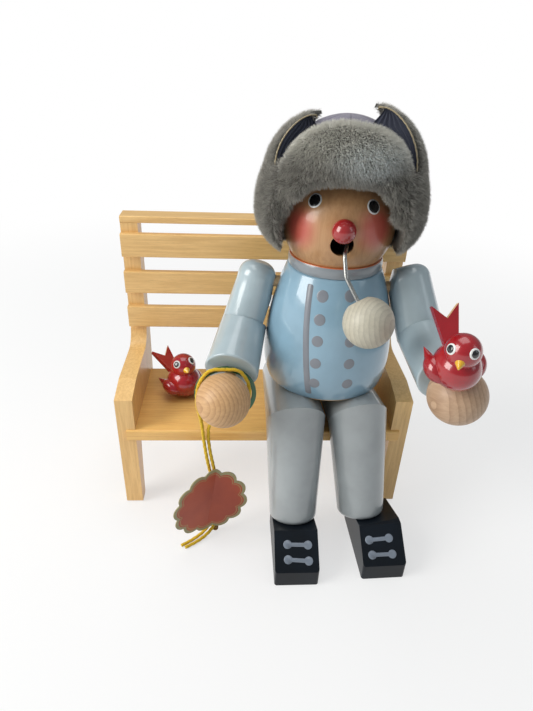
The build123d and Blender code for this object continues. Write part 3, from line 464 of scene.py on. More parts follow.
def dots(name, spots, radius, lift, material, place, sunk):
    """Painted dots as one piece: low domes whose edges sink just below the surface."""
    rings, around = 6, 40
    points, faces = [], []
    for spot in spots:
        rows = []
        for ring in range(rings + 1):
            share = 1 - (ring / rings) ** 1.5 if ring < rings else 0.04
            rise = lift * sqrt(max(0.0, 1 - share ** 4)) - (sunk if ring == 0 else 0)
            rows.append([spot(radius * share * cos(2 * pi * k / around),
                              radius * share * sin(2 * pi * k / around), rise)
                         for k in range(around)])
        _, last = add_grid(points, faces, rows)
        add_cap(points, faces, last, around, spot(0, 0, lift))
    return mesh_piece(name, [METRES @ place @ point for point in points], faces, material)


def merge_seams(mesh, gap):
    """Merges the doubled points of a mesh."""
    work = bmesh.new()
    work.from_mesh(mesh)
    bmesh.ops.remove_doubles(work, verts=work.verts[:], dist=gap)
    work.to_mesh(mesh)
    work.free()
    return mesh


SEAM = 0.00002


def merged_copy(node):
    """A copy of a CAD node's mesh with its seams merged."""
    return merge_seams(nodes[node].data.copy(), SEAM)


def seen_mesh(obj):
    """A new mesh of the object as its modifiers leave it."""
    bpy.context.view_layer.update()
    seen = obj.evaluated_get(bpy.context.evaluated_depsgraph_get())
    return bpy.data.meshes.new_from_object(seen)


def applied(obj, name, materials, smooth=True):
    """The object's mesh with its modifiers applied, as a new piece; the old one goes."""
    mesh = seen_mesh(obj)
    for attribute in list(mesh.attributes):
        if attribute.name == "custom_normal":
            mesh.attributes.remove(attribute)
    bpy.data.objects.remove(obj, do_unlink=True)
    mesh.name = name
    return piece_of(name, mesh, materials, smooth)


def dressed(piece, body, slot, *stands_for):
    """Puts a piece on its body, in the place of CAD nodes. The slot is not used."""
    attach(piece, body)
    if stands_for:
        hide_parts(*stands_for)
    return piece


def tube(name, path, radius, material, around, lobes=0, depth=0.0, pitch=5.0, closed=False):
    """A tube along a path in millimetres, twisted if it has lobes."""
    count = len(path)
    rows, run, side = [], 0.0, None
    for spot, point in enumerate(path):
        if closed:
            way = (path[(spot + 1) % count] - path[spot - 1]).normalized()
        else:
            way = (path[min(spot + 1, count - 1)] - path[max(spot - 1, 0)]).normalized()
        if side is None:
            side = way.orthogonal().normalized()
        side = (side - way * side.dot(way)).normalized()
        other = way.cross(side)
        if spot:
            run += (point - path[spot - 1]).length
        row = []
        for k in range(around):
            turn = 2 * pi * k / around
            reach = radius * (1 - depth + depth * cos(lobes * turn - 2 * pi * run / pitch)
                              if lobes else 1)
            row.append(METRES @ (point + side * (reach * cos(turn)) + other * (reach * sin(turn))))
        rows.append(row)
    points, faces = [], []
    if closed:
        rows.append(rows[0])
    first, last = add_grid(points, faces, rows)
    if not closed:
        for edge, tip in ((first, path[0]), (last, path[-1])):
            add_cap(points, faces, edge, around, METRES @ tip)
    piece = mesh_piece(name, points, faces, material)
    if closed:
        merge_seams(piece.data, 1e-7)
    return piece


# ---------------------------------------------------------------- materials

# Lacquers and paints: colour, unevenness, roughness, coat, the coat's roughness.
PAINTS = {
    "trousers lacquer": ((160, 166, 168), 0.06, 0.3, 0.8, 0.08),
    "shoe lacquer": ((16, 24, 33), 0.25, 0.38, 0.12, 0.2),
    "jacket lacquer": ((140, 174, 194), 0.05, 0.28, 0.85, 0.07),
    "sleeve lacquer": ((176, 192, 198), 0.05, 0.3, 0.8, 0.08),
    "nose lacquer": ((176, 40, 42), 0.12, 0.25, 0.9, 0.06),
    "bird lacquer": ((170, 20, 32), 0.15, 0.25, 0.95, 0.05),
    "beak lacquer": ((232, 178, 40), 0.08, 0.3, 0.7, 0.1),
    "button paint": ((132, 136, 144), 0.06, 0.4, 0.4, 0.2),
    "eye white": ((232, 234, 232), 0.03, 0.3, 0.6, 0.1),
    "eye black": ((20, 22, 26), 0.1, 0.2, 0.9, 0.05),
    "lace paint": ((132, 142, 156), 0.08, 0.4, 0.4, 0.2),
    "ring plastic": ((36, 104, 62), 0.1, 0.3, 0.3, 0.2),
}
# Cloths and yarns: colour, darker colour, how fine the fibres are, their depth, sheen.
CLOTHS = {
    "crown felt": ((132, 127, 142), (102, 98, 114), 1500.0, 0.0003, 0.3),
    "lining cloth": ((58, 62, 78), (34, 38, 52), 2200.0, 0.0002, 0.15),
    "lining hem": ((196, 180, 146), (150, 134, 104), 2000.0, 0.0002, 0.2),
    "cord yarn": ((236, 200, 34), (196, 150, 14), 2600.0, 0.00025, 0.3),
    # The knot's yarn is the cord's yarn made darker and browner: painted shade.
    "shaded knot yarn": ((168, 124, 44), (120, 84, 30), 2600.0, 0.00025, 0.3),
}
BENCH_LIGHT, BENCH_DARK = (246, 204, 136), (220, 174, 108)
SEAT_LIGHT, SEAT_DARK = (250, 204, 122), (230, 174, 98)
RAW_LIGHT, RAW_DARK = (226, 194, 152), (204, 166, 120)
SHOE_GLOSS = 0.22

paint = {name: lacquer(name, *look) for name, look in PAINTS.items()}
paint["shoe lacquer"].node_tree.nodes["Principled BSDF"].inputs[
    "Specular IOR Level"].default_value = SHOE_GLOSS
fabric = {name: cloth(name, *look) for name, look in CLOTHS.items()}
beech = {axis: lacquered_wood(f"bench wood along {axis}", BENCH_LIGHT, BENCH_DARK, axis)
         for axis in "XZ"}
seat_wood = lacquered_wood("seat wood", SEAT_LIGHT, SEAT_DARK, "X")
dowel_wood = lacquered_wood("dowel wood", RAW_LIGHT, RAW_DARK, "Z", 0.0, 0.6)
raw_wood = lacquered_wood("raw wood", RAW_LIGHT, RAW_DARK, "X", 0.0, 0.6)


def trunk_at(node, offset, tilt, lean):
    """A trunk's axis near a turned ball, so that its rings cross the ball."""
    low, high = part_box(node)
    turn = Matrix.Rotation(radians(lean), 4, "Z") @ Matrix.Rotation(radians(tilt), 4, "X")
    return (Matrix.Translation((low + high) / 2) @ turn
            @ Matrix.Translation(Vector(offset) * 0.001))


# Turned balls: name, light and dark wood, the trunk's offset, tilt and lean, ring pitch.
BALLS = {
    "hand_right": ("right hand wood", (212, 170, 122), (170, 124, 80),
                   (-26, 0, 0), 60, 30, 0.0021),
    # The left hand's wood is darker and greyer than the right hand's: painted shade.
    "hand_left": ("left hand shaded wood", (196, 164, 134), (154, 120, 92),
                  (18, 4, 0), 75, 20, 0.0024),
    "pipe_bowl": ("bowl wood", (196, 190, 172), (166, 160, 144),
                  (22, 0, 0), 50, -25, 0.0022),
}
ball_woods = {node: ringed_wood(name, light, dark, trunk_at(node, offset, tilt, lean), pitch)
              for node, (name, light, dark, offset, tilt, lean, pitch) in BALLS.items()}
SLOT_LOOKS = {
    "dowel_wood": dowel_wood, "raw_wood": raw_wood, "collar_lacquer": collar_material(),
    "face_wood": face_material(), "plate_brass": metal("plate brass", (196, 160, 96), 0.35),
    "wire": metal("wire", (196, 196, 192), 0.3),
    **{slot: paint[slot.replace("_", " ")] for slot in (
        "trousers_lacquer", "shoe_lacquer", "jacket_lacquer", "nose_lacquer", "sleeve_lacquer",
        "beak_lacquer", "bird_lacquer", "ring_plastic")},
}
EASED = {"bench_wood": 0.5, "trousers_lacquer": 0.35, "shoe_lacquer": 0.5,
         "jacket_lacquer": 0.4, "sleeve_lacquer": 0.35, "collar_lacquer": 0.3,
         "face_wood": 0.3, "bird_lacquer": 0.2, "raw_wood": 0.3, "ball_wood": 0.25,
         "ring_plastic": 0.3}
SOFT = ("felt", "lining_cloth", "faux_fur", "tag_card", "tag_cord")


def wood_of(name, slot):
    """The material of a CAD node, by its slot and its name."""
    if name == "seat_board":
        return seat_wood
    if slot == "bench_wood":
        return beech["Z" if name.startswith("side_frame") else "X"]
    return ball_woods[name] if slot == "ball_wood" else SLOT_LOOKS[slot]


def ease_edges(obj, width):
    """Small rounds on a CAD node's edges."""
    weld = obj.modifiers.new("seams", "WELD")
    weld.merge_threshold = SEAM
    bevel = obj.modifiers.new("eased edges", "BEVEL")
    bevel.width = width / 1000
    bevel.segments = 2
    bevel.limit_method = "ANGLE"
    bevel.angle_limit = radians(32)
    bevel.use_clamp_overlap = True
    even = obj.modifiers.new("even light", "WEIGHTED_NORMAL")
    even.keep_sharp = True


for subpart in frame["record"]["subparts"]:
    node, node_slot = subpart["node"], subpart["material_slot"]
    if node_slot not in SOFT:
        nodes[node].data.materials.clear()
        nodes[node].data.materials.append(wood_of(node, node_slot))
        if node_slot in EASED:
            ease_edges(nodes[node], EASED[node_slot])


# ---------------------------------------------------------------- paint on the figure

# Places in the bench's frame: the eyes, the two columns of buttons, and the braid's ends.
EYES, EYE_RIM, EYE_BLACK = ((18.4, 1.1, 191.5), (46.5, -4.2, 191.0)), 3.65, 3.05
BUTTON_RADIUS, COLUMN_TOP, COLUMN_SLANT = 3.0, 147, 0.02
BUTTONS = (((25.3, -6.3), (146.3, 135.0, 124.0, 111.8, 99.9)),
           ((39.0, -7.5), (147.1, 135.6, 124.5, 112.3, 100.2)))
BRAID_TOP, BRAID_FOOT, BRAID_HALF = (19.8, -1.4, 150.8), (22.0, -11.5, 92.0), 1.7
BRAID_FORM = ((-1, -0.04), (-0.92, 0.1), (0, 0.12), (0.92, 0.1), (1, -0.04))
BRAID_SHARES = (0, 0.003, 0.008, 0.015, 0.03, *(k / 40 for k in range(2, 39)),
                0.97, 0.985, 0.992, 0.997, 1)


def painted_eyes(name, spots, radii, lifts, place, body, slot, sunk):
    """White rims and black middles for a pair of eyes."""
    for part, look, radius, lift in zip(("rims", "blacks"), ("eye white", "eye black"),
                                        radii, lifts):
        piece = dots(f"{name}_{part}", spots, radius, lift, paint[look], place, sunk)
        dressed(piece, body, slot)


def painted_figure():
    """Eyes, buttons and the jacket's braid."""
    inside = FIGURE.inverted() @ BENCH
    eyes = [on_ball(Vector((0, 0, HEAD_HEIGHT)), HEAD_RADIUS, inside @ Vector(spot))
            for spot in EYES]
    painted_eyes("eye", eyes, (EYE_RIM, EYE_BLACK), (0.22, 0.45), FIGURE, "upper_body",
                 "face_wood", 0.08)
    buttons = []
    for (across, forward), heights in BUTTONS:
        for height in heights:
            slant = (COLUMN_TOP - height) * COLUMN_SLANT
            place = inside @ Vector((across + slant, forward, height))
            buttons.append(on_jacket(turn_of(place), height))
    dressed(dots("buttons", buttons, BUTTON_RADIUS, 0.14, paint["button paint"], FIGURE, 0.04),
            "upper_body", "jacket_lacquer")
    start, end = (turn_of(inside @ Vector(spot)) for spot in (BRAID_TOP, BRAID_FOOT))
    top, foot = BRAID_TOP[2], BRAID_FOOT[2]
    rows = []
    for share in BRAID_SHARES:
        spot = on_jacket(start + (end - start) * share, top + (foot - top) * share)
        near_end = min(share, 1 - share) * 50
        half = BRAID_HALF * (0.35 + 0.65 * sqrt(1 - max(0.0, 1 - near_end) ** 2))
        rows.append([spot(half * part, 0, lift) for part, lift in BRAID_FORM])
    points, faces = [], []
    add_grid(points, faces, rows, closed=False)
    braid = mesh_piece("braid", [ON_FIGURE @ point for point in points], faces,
                       paint["button paint"])
    dressed(braid, "upper_body", "jacket_lacquer")


painted_figure()


# ---------------------------------------------------------------- shoe laces

SLOPE_START, SLOPE_END = Vector((0, -33.5, 10.0)), Vector((0, -16.0, 23.0))
LACE_SPAN, LACE_DISC, LACE_BAR, LACE_STEPS = 11.2, 2.3, 1.05, 24
# Each shoe: where its ankle is, how far it turns out, and the ends of its two laces.
LACES = {
    "right": ((16.5, -28.07), 0.5, (((-4.79, 14.47), (6.2, 14.03)),
                                    ((-4.89, 6.74), (6.45, 5.88)))),
    "left": ((63.67, -24.46), 2.5, (((-7.18, 13.78), (3.97, 14.36)),
                                    ((-6.35, 5.96), (4.8, 5.98)))),
}


def bone_outline():
    """The outline of one painted lace: a bar between two discs."""
    bite = asin(LACE_BAR / LACE_DISC)
    points = []
    for side in (1, -1):
        for step in range(LACE_STEPS + 1):
            turn = -pi + bite + (2 * pi - 2 * bite) * step / LACE_STEPS
            points.append((side * (LACE_SPAN / 2 + LACE_DISC * cos(turn)),
                           side * LACE_DISC * sin(turn)))
    return points


def laces():
    """Two laces painted across the instep of each shoe."""
    up = (SLOPE_END - SLOPE_START).normalized()
    out = Vector((1, 0, 0)).cross(up)
    outline = bone_outline()
    for side, (ankle, yaw, pairs) in LACES.items():
        shoe = BENCH @ Matrix.Translation((*ankle, 0)) @ Matrix.Rotation(radians(yaw), 4, "Z")
        points, faces = [], []
        for start, end in pairs:
            start, end = Vector(start), Vector(end)
            middle, along = (start + end) / 2, (end - start).normalized()
            across = Vector((-along.y, along.x))
            rows = []
            for grow, lift in ((1.0, -0.05), (1.0, 0.06), (0.97, 0.1)):
                spots = [middle + along * (u * grow) + across * (v * grow) for u, v in outline]
                rows.append([SLOPE_START + Vector((spot.x, 0, 0)) + up * spot.y + out * lift
                             for spot in spots])
            _, last = add_grid(points, faces, rows)
            faces.append(tuple(range(last, last + len(outline))))
        piece = mesh_piece(f"laces_{side}", [METRES @ shoe @ point for point in points], faces,
                           paint["lace paint"])
        dressed(piece, "base", "shoe_lacquer")


laces()


# ---------------------------------------------------------------- hat

PILE_INPUTS = {
    "Geometry": "NodeSocketGeometry", "Hairs per area": "NodeSocketFloat",
    "Length": "NodeSocketFloat", "Thickness": "NodeSocketFloat", "Lay": "NodeSocketVector",
    "Tousle": "NodeSocketFloat", "Seed": "NodeSocketInt", "Material": "NodeSocketMaterial"}
HAIR_LENGTH, HAIR_THICKNESS, HAIR_LAY, HAIR_TOUSLE = 0.0023, 0.00014, (0, 0, -0.15), 1.3
STRAY = 0.28


def strand_nodes():
    """Geometry nodes that grow a short, tousled pile on a surface."""
    tree = bpy.data.node_groups.new("short pile", "GeometryNodeTree")
    tree.is_modifier = True
    sockets = {name: tree.interface.new_socket(name=name, in_out="INPUT",
                                               socket_type=kind).identifier
               for name, kind in PILE_INPUTS.items()}
    tree.interface.new_socket(name="Geometry", in_out="OUTPUT", socket_type="NodeSocketGeometry")
    n = Nodes(tree)
    given, result = n.add("NodeGroupInput").outputs, n.add("NodeGroupOutput")

    def drawn(low, high):
        """A random number of each point's own."""
        return n.add("FunctionNodeRandomValue", {2: low, 3: high}, data_type="FLOAT").outputs[1]

    furry = n.add("GeometryNodeInputNamedAttribute", {"Name": "furry"}, data_type="FLOAT")
    density = n.sum("MULTIPLY", given["Hairs per area"], furry.outputs["Attribute"])
    scatter = n.add("GeometryNodeDistributePointsOnFaces", {
        "Mesh": given["Geometry"], "Density": density, "Seed": given["Seed"]},
        distribute_method="RANDOM")
    place = n.add("GeometryNodeInputPosition").outputs[0]
    swirl = n.add("ShaderNodeTexNoise", {"Vector": place, "Scale": 330.0, "Detail": 2.0})
    swirl = n.vector("SUBTRACT", swirl.outputs["Color"], (0.5, 0.5, 0.5))
    clump = n.add("ShaderNodeVectorMath", {0: swirl, "Scale": given["Tousle"]},
                  operation="SCALE")
    stray = n.add("FunctionNodeRandomValue", {0: (-STRAY,) * 3, 1: (STRAY,) * 3},
                  data_type="FLOAT_VECTOR")
    way = n.vector("ADD", scatter.outputs["Normal"], given["Lay"])
    way = n.vector("ADD", way, clump.outputs[0])
    way = n.vector("ADD", way, stray.outputs[0])
    hair = n.add("GeometryNodeMeshCone", {
        "Vertices": 3, "Side Segments": 2, "Radius Top": 0.00001,
        "Radius Bottom": given["Thickness"], "Depth": given["Length"]}, fill_type="NONE")
    share = n.sum("DIVIDE", n.height(n.add("GeometryNodeInputPosition").outputs[0]),
                  given["Length"])
    droop = n.add("ShaderNodeCombineXYZ", {
        "X": n.sum("MULTIPLY", n.sum("MULTIPLY", share, share),
                   n.sum("MULTIPLY", given["Length"], 0.35))})
    bent = n.add("GeometryNodeSetPosition", {"Geometry": hair.outputs["Mesh"],
                                             "Offset": droop.outputs[0]})
    marked = n.add("GeometryNodeStoreNamedAttribute", {
        "Geometry": bent.outputs[0], "Name": "tip", "Value": share},
        data_type="FLOAT", domain="POINT")
    turn = n.add("FunctionNodeAlignRotationToVector", {"Vector": way}, axis="Z")
    spun = n.add("FunctionNodeAxisAngleToRotation", {"Axis": (0, 0, 1),
                                                     "Angle": drawn(0.0, 6.283)})
    turned = n.add("FunctionNodeRotateRotation", {0: turn.outputs[0], 1: spun.outputs[0]},
                   rotation_space="LOCAL")
    planted = n.add("GeometryNodeInstanceOnPoints", {
        "Points": scatter.outputs["Points"], "Instance": marked.outputs[0],
        "Rotation": turned.outputs[0], "Scale": drawn(0.65, 1.2)})
    shaded = n.add("GeometryNodeStoreNamedAttribute", {
        "Geometry": planted.outputs[0], "Name": "shade", "Value": drawn(0.0, 1.0)},
        data_type="FLOAT", domain="INSTANCE")
    real = n.add("GeometryNodeRealizeInstances", {0: shaded.outputs[0]})
    inked = n.add("GeometryNodeSetMaterial", {"Geometry": real.outputs[0],
                                              "Material": given["Material"]})
    tree.links.new(inked.outputs[0], result.inputs[0])
    return tree, sockets


PILE, PILE_SOCKETS = strand_nodes()


def grow_pile(skin, name, material, hairs, seed):
    """The hairs of one fur piece, as a mesh of their own."""
    modifier = skin.modifiers.new("pile", "NODES")
    modifier.node_group = PILE
    area = sum(face.area for face in skin.data.polygons
               if skin.data.attributes["furry"].data[face.vertices[0]].value > 0.5)
    values = {"Hairs per area": hairs / area, "Length": HAIR_LENGTH,
              "Thickness": HAIR_THICKNESS, "Lay": HAIR_LAY, "Tousle": HAIR_TOUSLE,
              "Seed": seed, "Material": material}
    for socket, value in values.items():
        modifier[PILE_SOCKETS[socket]] = value
    mesh = seen_mesh(skin)
    skin.modifiers.remove(modifier)
    mesh.name = name
    for face in mesh.polygons:
        face.use_smooth = True
    return linked(name, mesh)


# Turns on the hat are in degrees from the face's middle. An ear flap's tip is given by how
# far it is from the axis and how high it rises over the crown's side.
FLAP_TIPS, TIP_THICKNESS = {"right": (21.0, 18.5), "left": (18.0, 23.0)}, 4.0
FLAP_INSIDE, FLAP_OUTSIDE, FLAP_FOOT, FLAP_FRONT, EAR = 29.8, 38.5, 204.0, 47.0, 90
FRONT_CUT, CUT_START, CUT_FULL = 14.0, 203, 209
PRESSED_INSIDE, PRESSED_OUTSIDE, TIP_RAISED = 7.0, 3.5, 1.5
HOLLOW, HOLLOW_START, HOLLOW_FULL = 1.2, 60, 80
LOBE_TOP, LOBE_SHARE = 176, 0.86
# The front flap: how far its lower and its upper edge are lifted at each turn.
FRONT_REACH, FRONT_FOOT, LIFT_START, LIFT_FULL = 46, 188, 199, 213
LOWER_LIFTS = ((-46, 0.0), (-38, 0.0), (-24, 2.6), (-16, 3.6), (-4, 4.6), (9, 3.7), (25, 3.6),
               (33, 2.3), (46, 0.0))
UPPER_LIFTS = ((-46, 0.8), (-27, 1.8), (10, 1.8), (25, 2.8), (40, 3.6), (46, 3.6))
FUR_NODES = ("hat_front_flap", "hat_ear_flap_right", "hat_ear_flap_left", "hat_neck_band")
# Stuffing on both sides: turn, distance from the axis, height and half sizes.
STUFFING = ((48, 34.0, 199.5, (15, 6.0, 9.5)), (60, 33.5, 192.0, (12, 6.5, 12)),
            (138, 33.5, 195.0, (12, 4.5, 18)), (124, 33.5, 172.0, (12, 5.0, 7)))
FUR_GRID, SKIN_SUNK, FIRST_SEED = 0.0009, 0.0015, 3
# The pile's pieces: name, first and last turn, whether it gets the painted glint and painted top light, and
# hairs.
PILES = (("front_right", -52, -5, True, 10500), ("front_left", -5, 42, True, 10500),
         ("left", 42, 80, False, 10500), ("back_left", 80, 120, False, 10500),
         ("right", -91, -52, False, 10500), ("back_right", -130, -91, False, 10500),
         ("nape_right", -181, -130, False, 10000), ("nape_left", 120, 181, False, 10000))


def share_of(value, low, high):
    """0 up to low and 1 from high on, with an even change between."""
    return min(1.0, max(0.0, (value - low) / (high - low)))


def eased(value, low, high):
    """0 up to low and 1 from high on, with a soft change between."""
    share = share_of(value, low, high)
    return share * share * (3 - 2 * share)


def flap_edges(side, height):
    """How far a folded up ear flap's inside and outside are from the axis, and its rise."""
    tip, rise = FLAP_TIPS[side]
    up = min(1.0, max(0.0, (height - CROWN_SIDE) / rise))
    climb = share_of(height, FLAP_FOOT, CROWN_SIDE + rise)
    outer = FLAP_OUTSIDE + (tip + TIP_THICKNESS - FLAP_OUTSIDE) * (1 - sqrt(1 - climb ** 2))
    return FLAP_INSIDE + (tip - FLAP_INSIDE) * up, outer, up


def pressed_on(side, spot):
    """An ear flap's point, with the flap's top pressed on the crown and its front cut back."""
    level, height = sqrt(spot.x ** 2 + spot.y ** 2), spot.z
    sign = -1 if side == "right" else 1
    aside = sign * (turn_of(spot) - HAT_TURN)
    inner, outer, up = flap_edges(side, height)
    out = share_of(level, inner, outer)
    to_front = min(1.0, max(0.0, (EAR - aside) / (EAR - FLAP_FRONT)))
    aside += FRONT_CUT * eased(height, CUT_START, CUT_FULL) * to_front
    level -= (up ** 3 * (PRESSED_INSIDE - (PRESSED_INSIDE - PRESSED_OUTSIDE) * out)
              + HOLLOW * sin(pi * up) * eased(aside, HOLLOW_START, HOLLOW_FULL) * out)
    height += TIP_RAISED * up ** 3
    if height < LOBE_TOP:
        height = LOBE_TOP - (LOBE_TOP - height) * LOBE_SHARE
    return round_axis(level, radians(sign * aside + HAT_TURN), height)


def lift_at(edge, turn):
    """How far an edge of the front flap is lifted at a turn."""
    for (start, low), (end, high) in zip(edge, edge[1:]):
        if start <= turn <= end:
            return low + (high - low) * eased(turn, start, end)


def raised(spot):
    """A point of the fur, with the front flap's edges where they are on the real hat."""
    turn = turn_of(spot)
    if abs(turn) > FRONT_REACH or spot.z < FRONT_FOOT:
        return spot
    share = eased(spot.z, LIFT_START, LIFT_FULL)
    lift = lift_at(LOWER_LIFTS, turn) * (1 - share) + lift_at(UPPER_LIFTS, turn) * share
    return spot + Vector((0, 0, lift))


def fur_form():
    """The hat's fur as one rounded form: its CAD parts, and the stuffing at their joins."""
    work = bmesh.new()
    inside = ON_FIGURE.inverted()
    for node in FUR_NODES:
        mesh = merged_copy(node)
        if "ear_flap" in node:
            for vertex in mesh.vertices:
                vertex.co = ON_FIGURE @ pressed_on(node.split("_")[-1], inside @ vertex.co)
        work.from_mesh(mesh)
        bpy.data.meshes.remove(mesh)
    for azimuth, level, height, sizes in STUFFING:
        for sign in (-1, 1):
            turn = Matrix.Rotation(radians(sign * azimuth + HAT_TURN), 4, "Z")
            ball = turn @ Matrix.Translation((0, -level, height)) @ Matrix.Diagonal((*sizes, 1))
            bmesh.ops.create_uvsphere(work, u_segments=32, v_segments=20, radius=1.0,
                                      matrix=ON_FIGURE @ ball)
    mesh = bpy.data.meshes.new("hat fur form")
    work.to_mesh(mesh)
    work.free()
    form = linked("hat_fur_form", mesh)
    remesh = form.modifiers.new("even mesh", "REMESH")
    remesh.mode = "VOXEL"
    remesh.voxel_size = FUR_GRID
    smooth = form.modifiers.new("soft edges", "SMOOTH")
    smooth.factor, smooth.iterations = 0.5, 26
    return form


def grown_over(place, normal):
    """Whether hair grows at a place of the fur's skin, and its turn from the face.

    None grows on the hidden inside, nor where the lining covers an ear flap's front end.
    """
    axis = ON_FIGURE @ Vector((0, 0, 0))
    out = Vector((place.x - axis.x, place.y - axis.y, 0)).normalized()
    face_way = FIGURE.to_3x3() @ Vector((0, -1, 0))
    side_way = FIGURE.to_3x3() @ Vector((1, 0, 0))
    turn = degrees(atan2(out.dot(side_way), out.dot(face_way)))
    hidden = normal.dot(out) < -0.3 and normal.z < 0.25
    round_way = Vector((-out.y, out.x, 0)) * (1 if turn > 0 else -1)
    lined = (normal.dot(round_way) < -0.45 and 50 < abs(turn - HAT_TURN) < 72
             and place.z * 1000 > CROWN_SIDE)
    return not (hidden or lined), turn


def fur_hat():
    """The hat's fur: one skin, grown over with short pile in eight pieces."""
    plain, glinted = fur_material("grey brown fur"), fur_material("front flap fur", True)
    skin = applied(fur_form(), "fur_skin", [plain])
    mesh, inside = skin.data, ON_FIGURE.inverted()
    for vertex in mesh.vertices:
        vertex.co = ON_FIGURE @ raised(inside @ vertex.co)
    mesh.update()
    normals = [vertex.normal.copy() for vertex in mesh.vertices]
    marks = [grown_over(vertex.co, normal) for vertex, normal in zip(mesh.vertices, normals)]
    for vertex, normal in zip(mesh.vertices, normals):
        vertex.co -= normal * SKIN_SUNK
    for name in ("furry", "tip", "shade"):
        mesh.attributes.new(name, "FLOAT", "POINT")
    for seed, (name, low, high, has_glint, hairs) in enumerate(PILES, FIRST_SEED):
        mesh.attributes["furry"].data.foreach_set(
            "value", [float(grows and low <= turn < high) for grows, turn in marks])
        pile = grow_pile(skin, f"fur_pile_{name}", glinted if has_glint else plain, hairs, seed)
        dressed(pile, "upper_body", "faux_fur")
    dressed(skin, "upper_body", "faux_fur", *FUR_NODES)


SIDE_PART, FELT_SUNK, SEAM_DEPTH, SEAM_WIDTH = 0.2, 0.05, 0.7, 0.16


def felt_crown():
    """The felt crown: a soft dome in six panels."""
    rows, around, rings = [], 120, 40
    for ring in range(rings + 1):
        share = ring / rings
        if share < SIDE_PART:
            level = CROWN_RADIUS
            height = CROWN_FOOT + (CROWN_SIDE - CROWN_FOOT) * share / SIDE_PART
        else:
            level = CROWN_RADIUS * (1 - (share - SIDE_PART) / (1 - SIDE_PART)) + 0.02
            height = CROWN_TOP - CROWN_CURVE + sqrt(CROWN_CURVE ** 2 - level ** 2)
        row = []
        for k in range(around):
            turn = 2 * pi * k / around
            seam = abs(sin(3 * turn))
            dip = SEAM_DEPTH * max(0.0, 1 - seam / SEAM_WIDTH) * min(1.0, level / 9)
            row.append(round_axis(level - dip * 0.5 - FELT_SUNK, turn,
                                  height - dip - FELT_SUNK))
        rows.append(row)
    rows.insert(0, [Vector((p.x * 0.9, p.y * 0.9, p.z)) for p in rows[0]])
    points, faces = [], []
    _, last = add_grid(points, faces, rows)
    add_cap(points, faces, last, around, Vector((0, 0, CROWN_TOP - FELT_SUNK)))
    crown = mesh_piece("crown_felt", [ON_FIGURE @ p for p in points], faces,
                       fabric["crown felt"])
    dressed(crown, "upper_body", "felt", "hat_crown")


def crown_level(height):
    """How far the crown's felt is from its axis at a height."""
    rise = height - (CROWN_TOP - CROWN_CURVE)
    return CROWN_RADIUS if height < CROWN_SIDE else sqrt(max(0.0, CROWN_CURVE ** 2 - rise ** 2))


LINING_FOOT, LINING_BACK, ARC_DEGREES = 201.0, 2.2, 57.3
LINING_RIBS, RIB_POINTS, RIB_DEPTH = 6, 8, 0.3


def flap_front(level):
    """The turn of an ear flap's front end at a distance from the axis, in degrees."""
    return FLAP_FRONT + FRONT_CUT - LINING_BACK * ARC_DEGREES / level


def ear_linings():
    """The ribbed cloth on the front end of each folded up ear flap, and its stitched hem."""
    for side, sign in (("right", -1), ("left", 1)):
        def spot(level, height, back=0.0):
            turn = sign * (flap_front(level) + back / level * ARC_DEGREES) + HAT_TURN
            return round_axis(level, radians(turn), height)

        tip, rise = FLAP_TIPS[side]
        rows, hem = [], []
        steps, across = 48, LINING_RIBS * RIB_POINTS
        for step in range(steps + 1):
            climb = sin(0.5 * pi * step / steps)
            height = LINING_FOOT + (CROWN_SIDE + rise - LINING_FOOT) * climb
            _, outer, up = flap_edges(side, height)
            level = outer - PRESSED_OUTSIDE * up ** 3 - 1.1
            height += 2.1 * up ** 3 - 0.4 * up
            if step == steps:
                level -= 2.0
            least = tip - 4.5 + 4.5 * eased(up, 0.72, 1.0)
            near = min(max(crown_level(height) - 0.6, least), level - 0.8)
            row = []
            for k in range(across + 1):
                share = k / across
                rib = RIB_DEPTH * cos(2 * pi * k / RIB_POINTS)
                sink = 0.9 * max(0.0, share * 8 - 7) ** 2
                row.append(spot(near + (level - near) * share, height, sink - rib))
            rows.append(row)
            hem.append(spot(level, height))
        top, turns = hem[-1], 8
        for step in range(1, turns + 1):
            level = sqrt(top.x ** 2 + top.y ** 2) * (1 - step / turns) + (tip - 3.0) * step / turns
            hem.append(spot(level, top.z - 0.12 * step))
        points, faces = [], []
        add_grid(points, faces, rows, closed=False)
        lining = mesh_piece(f"lining_{side}", [ON_FIGURE @ p for p in points], faces,
                            fabric["lining cloth"])
        dressed(lining, "upper_body", "lining_cloth", f"hat_lining_{side}")
        strip = tube(f"hem_{side}", [FIGURE @ p for p in hem[6:]], 0.42, fabric["lining hem"],
                     10, 3, 0.35, 1.2)
        dressed(strip, "upper_body", "lining_cloth")


fur_hat()
felt_crown()
ear_linings()


# ---------------------------------------------------------------- birds

BIRD_HEAD, BIRD_HEAD_RADIUS = Vector((0, -2.8, 11.0)), 7.6
BIRD_EYE_TURN, BIRD_EYE_RISE, TAIL_TILT = 45.6, radians(27.2), radians(45.4)
# Each bird: its body, its place on the bench or on the hand's middle, its turns about Z, X
# and Y, and how far its head turns.
BIRDS = {"seat_bird": ("base", (-49.8, 37.4, 67.1), (43.2, -13.8, 0), -22.6),
         "hand_bird": ("left_arm", (-7.7, -7.6, 20.7), (5.0, 9.1, -7.4), -31.6)}


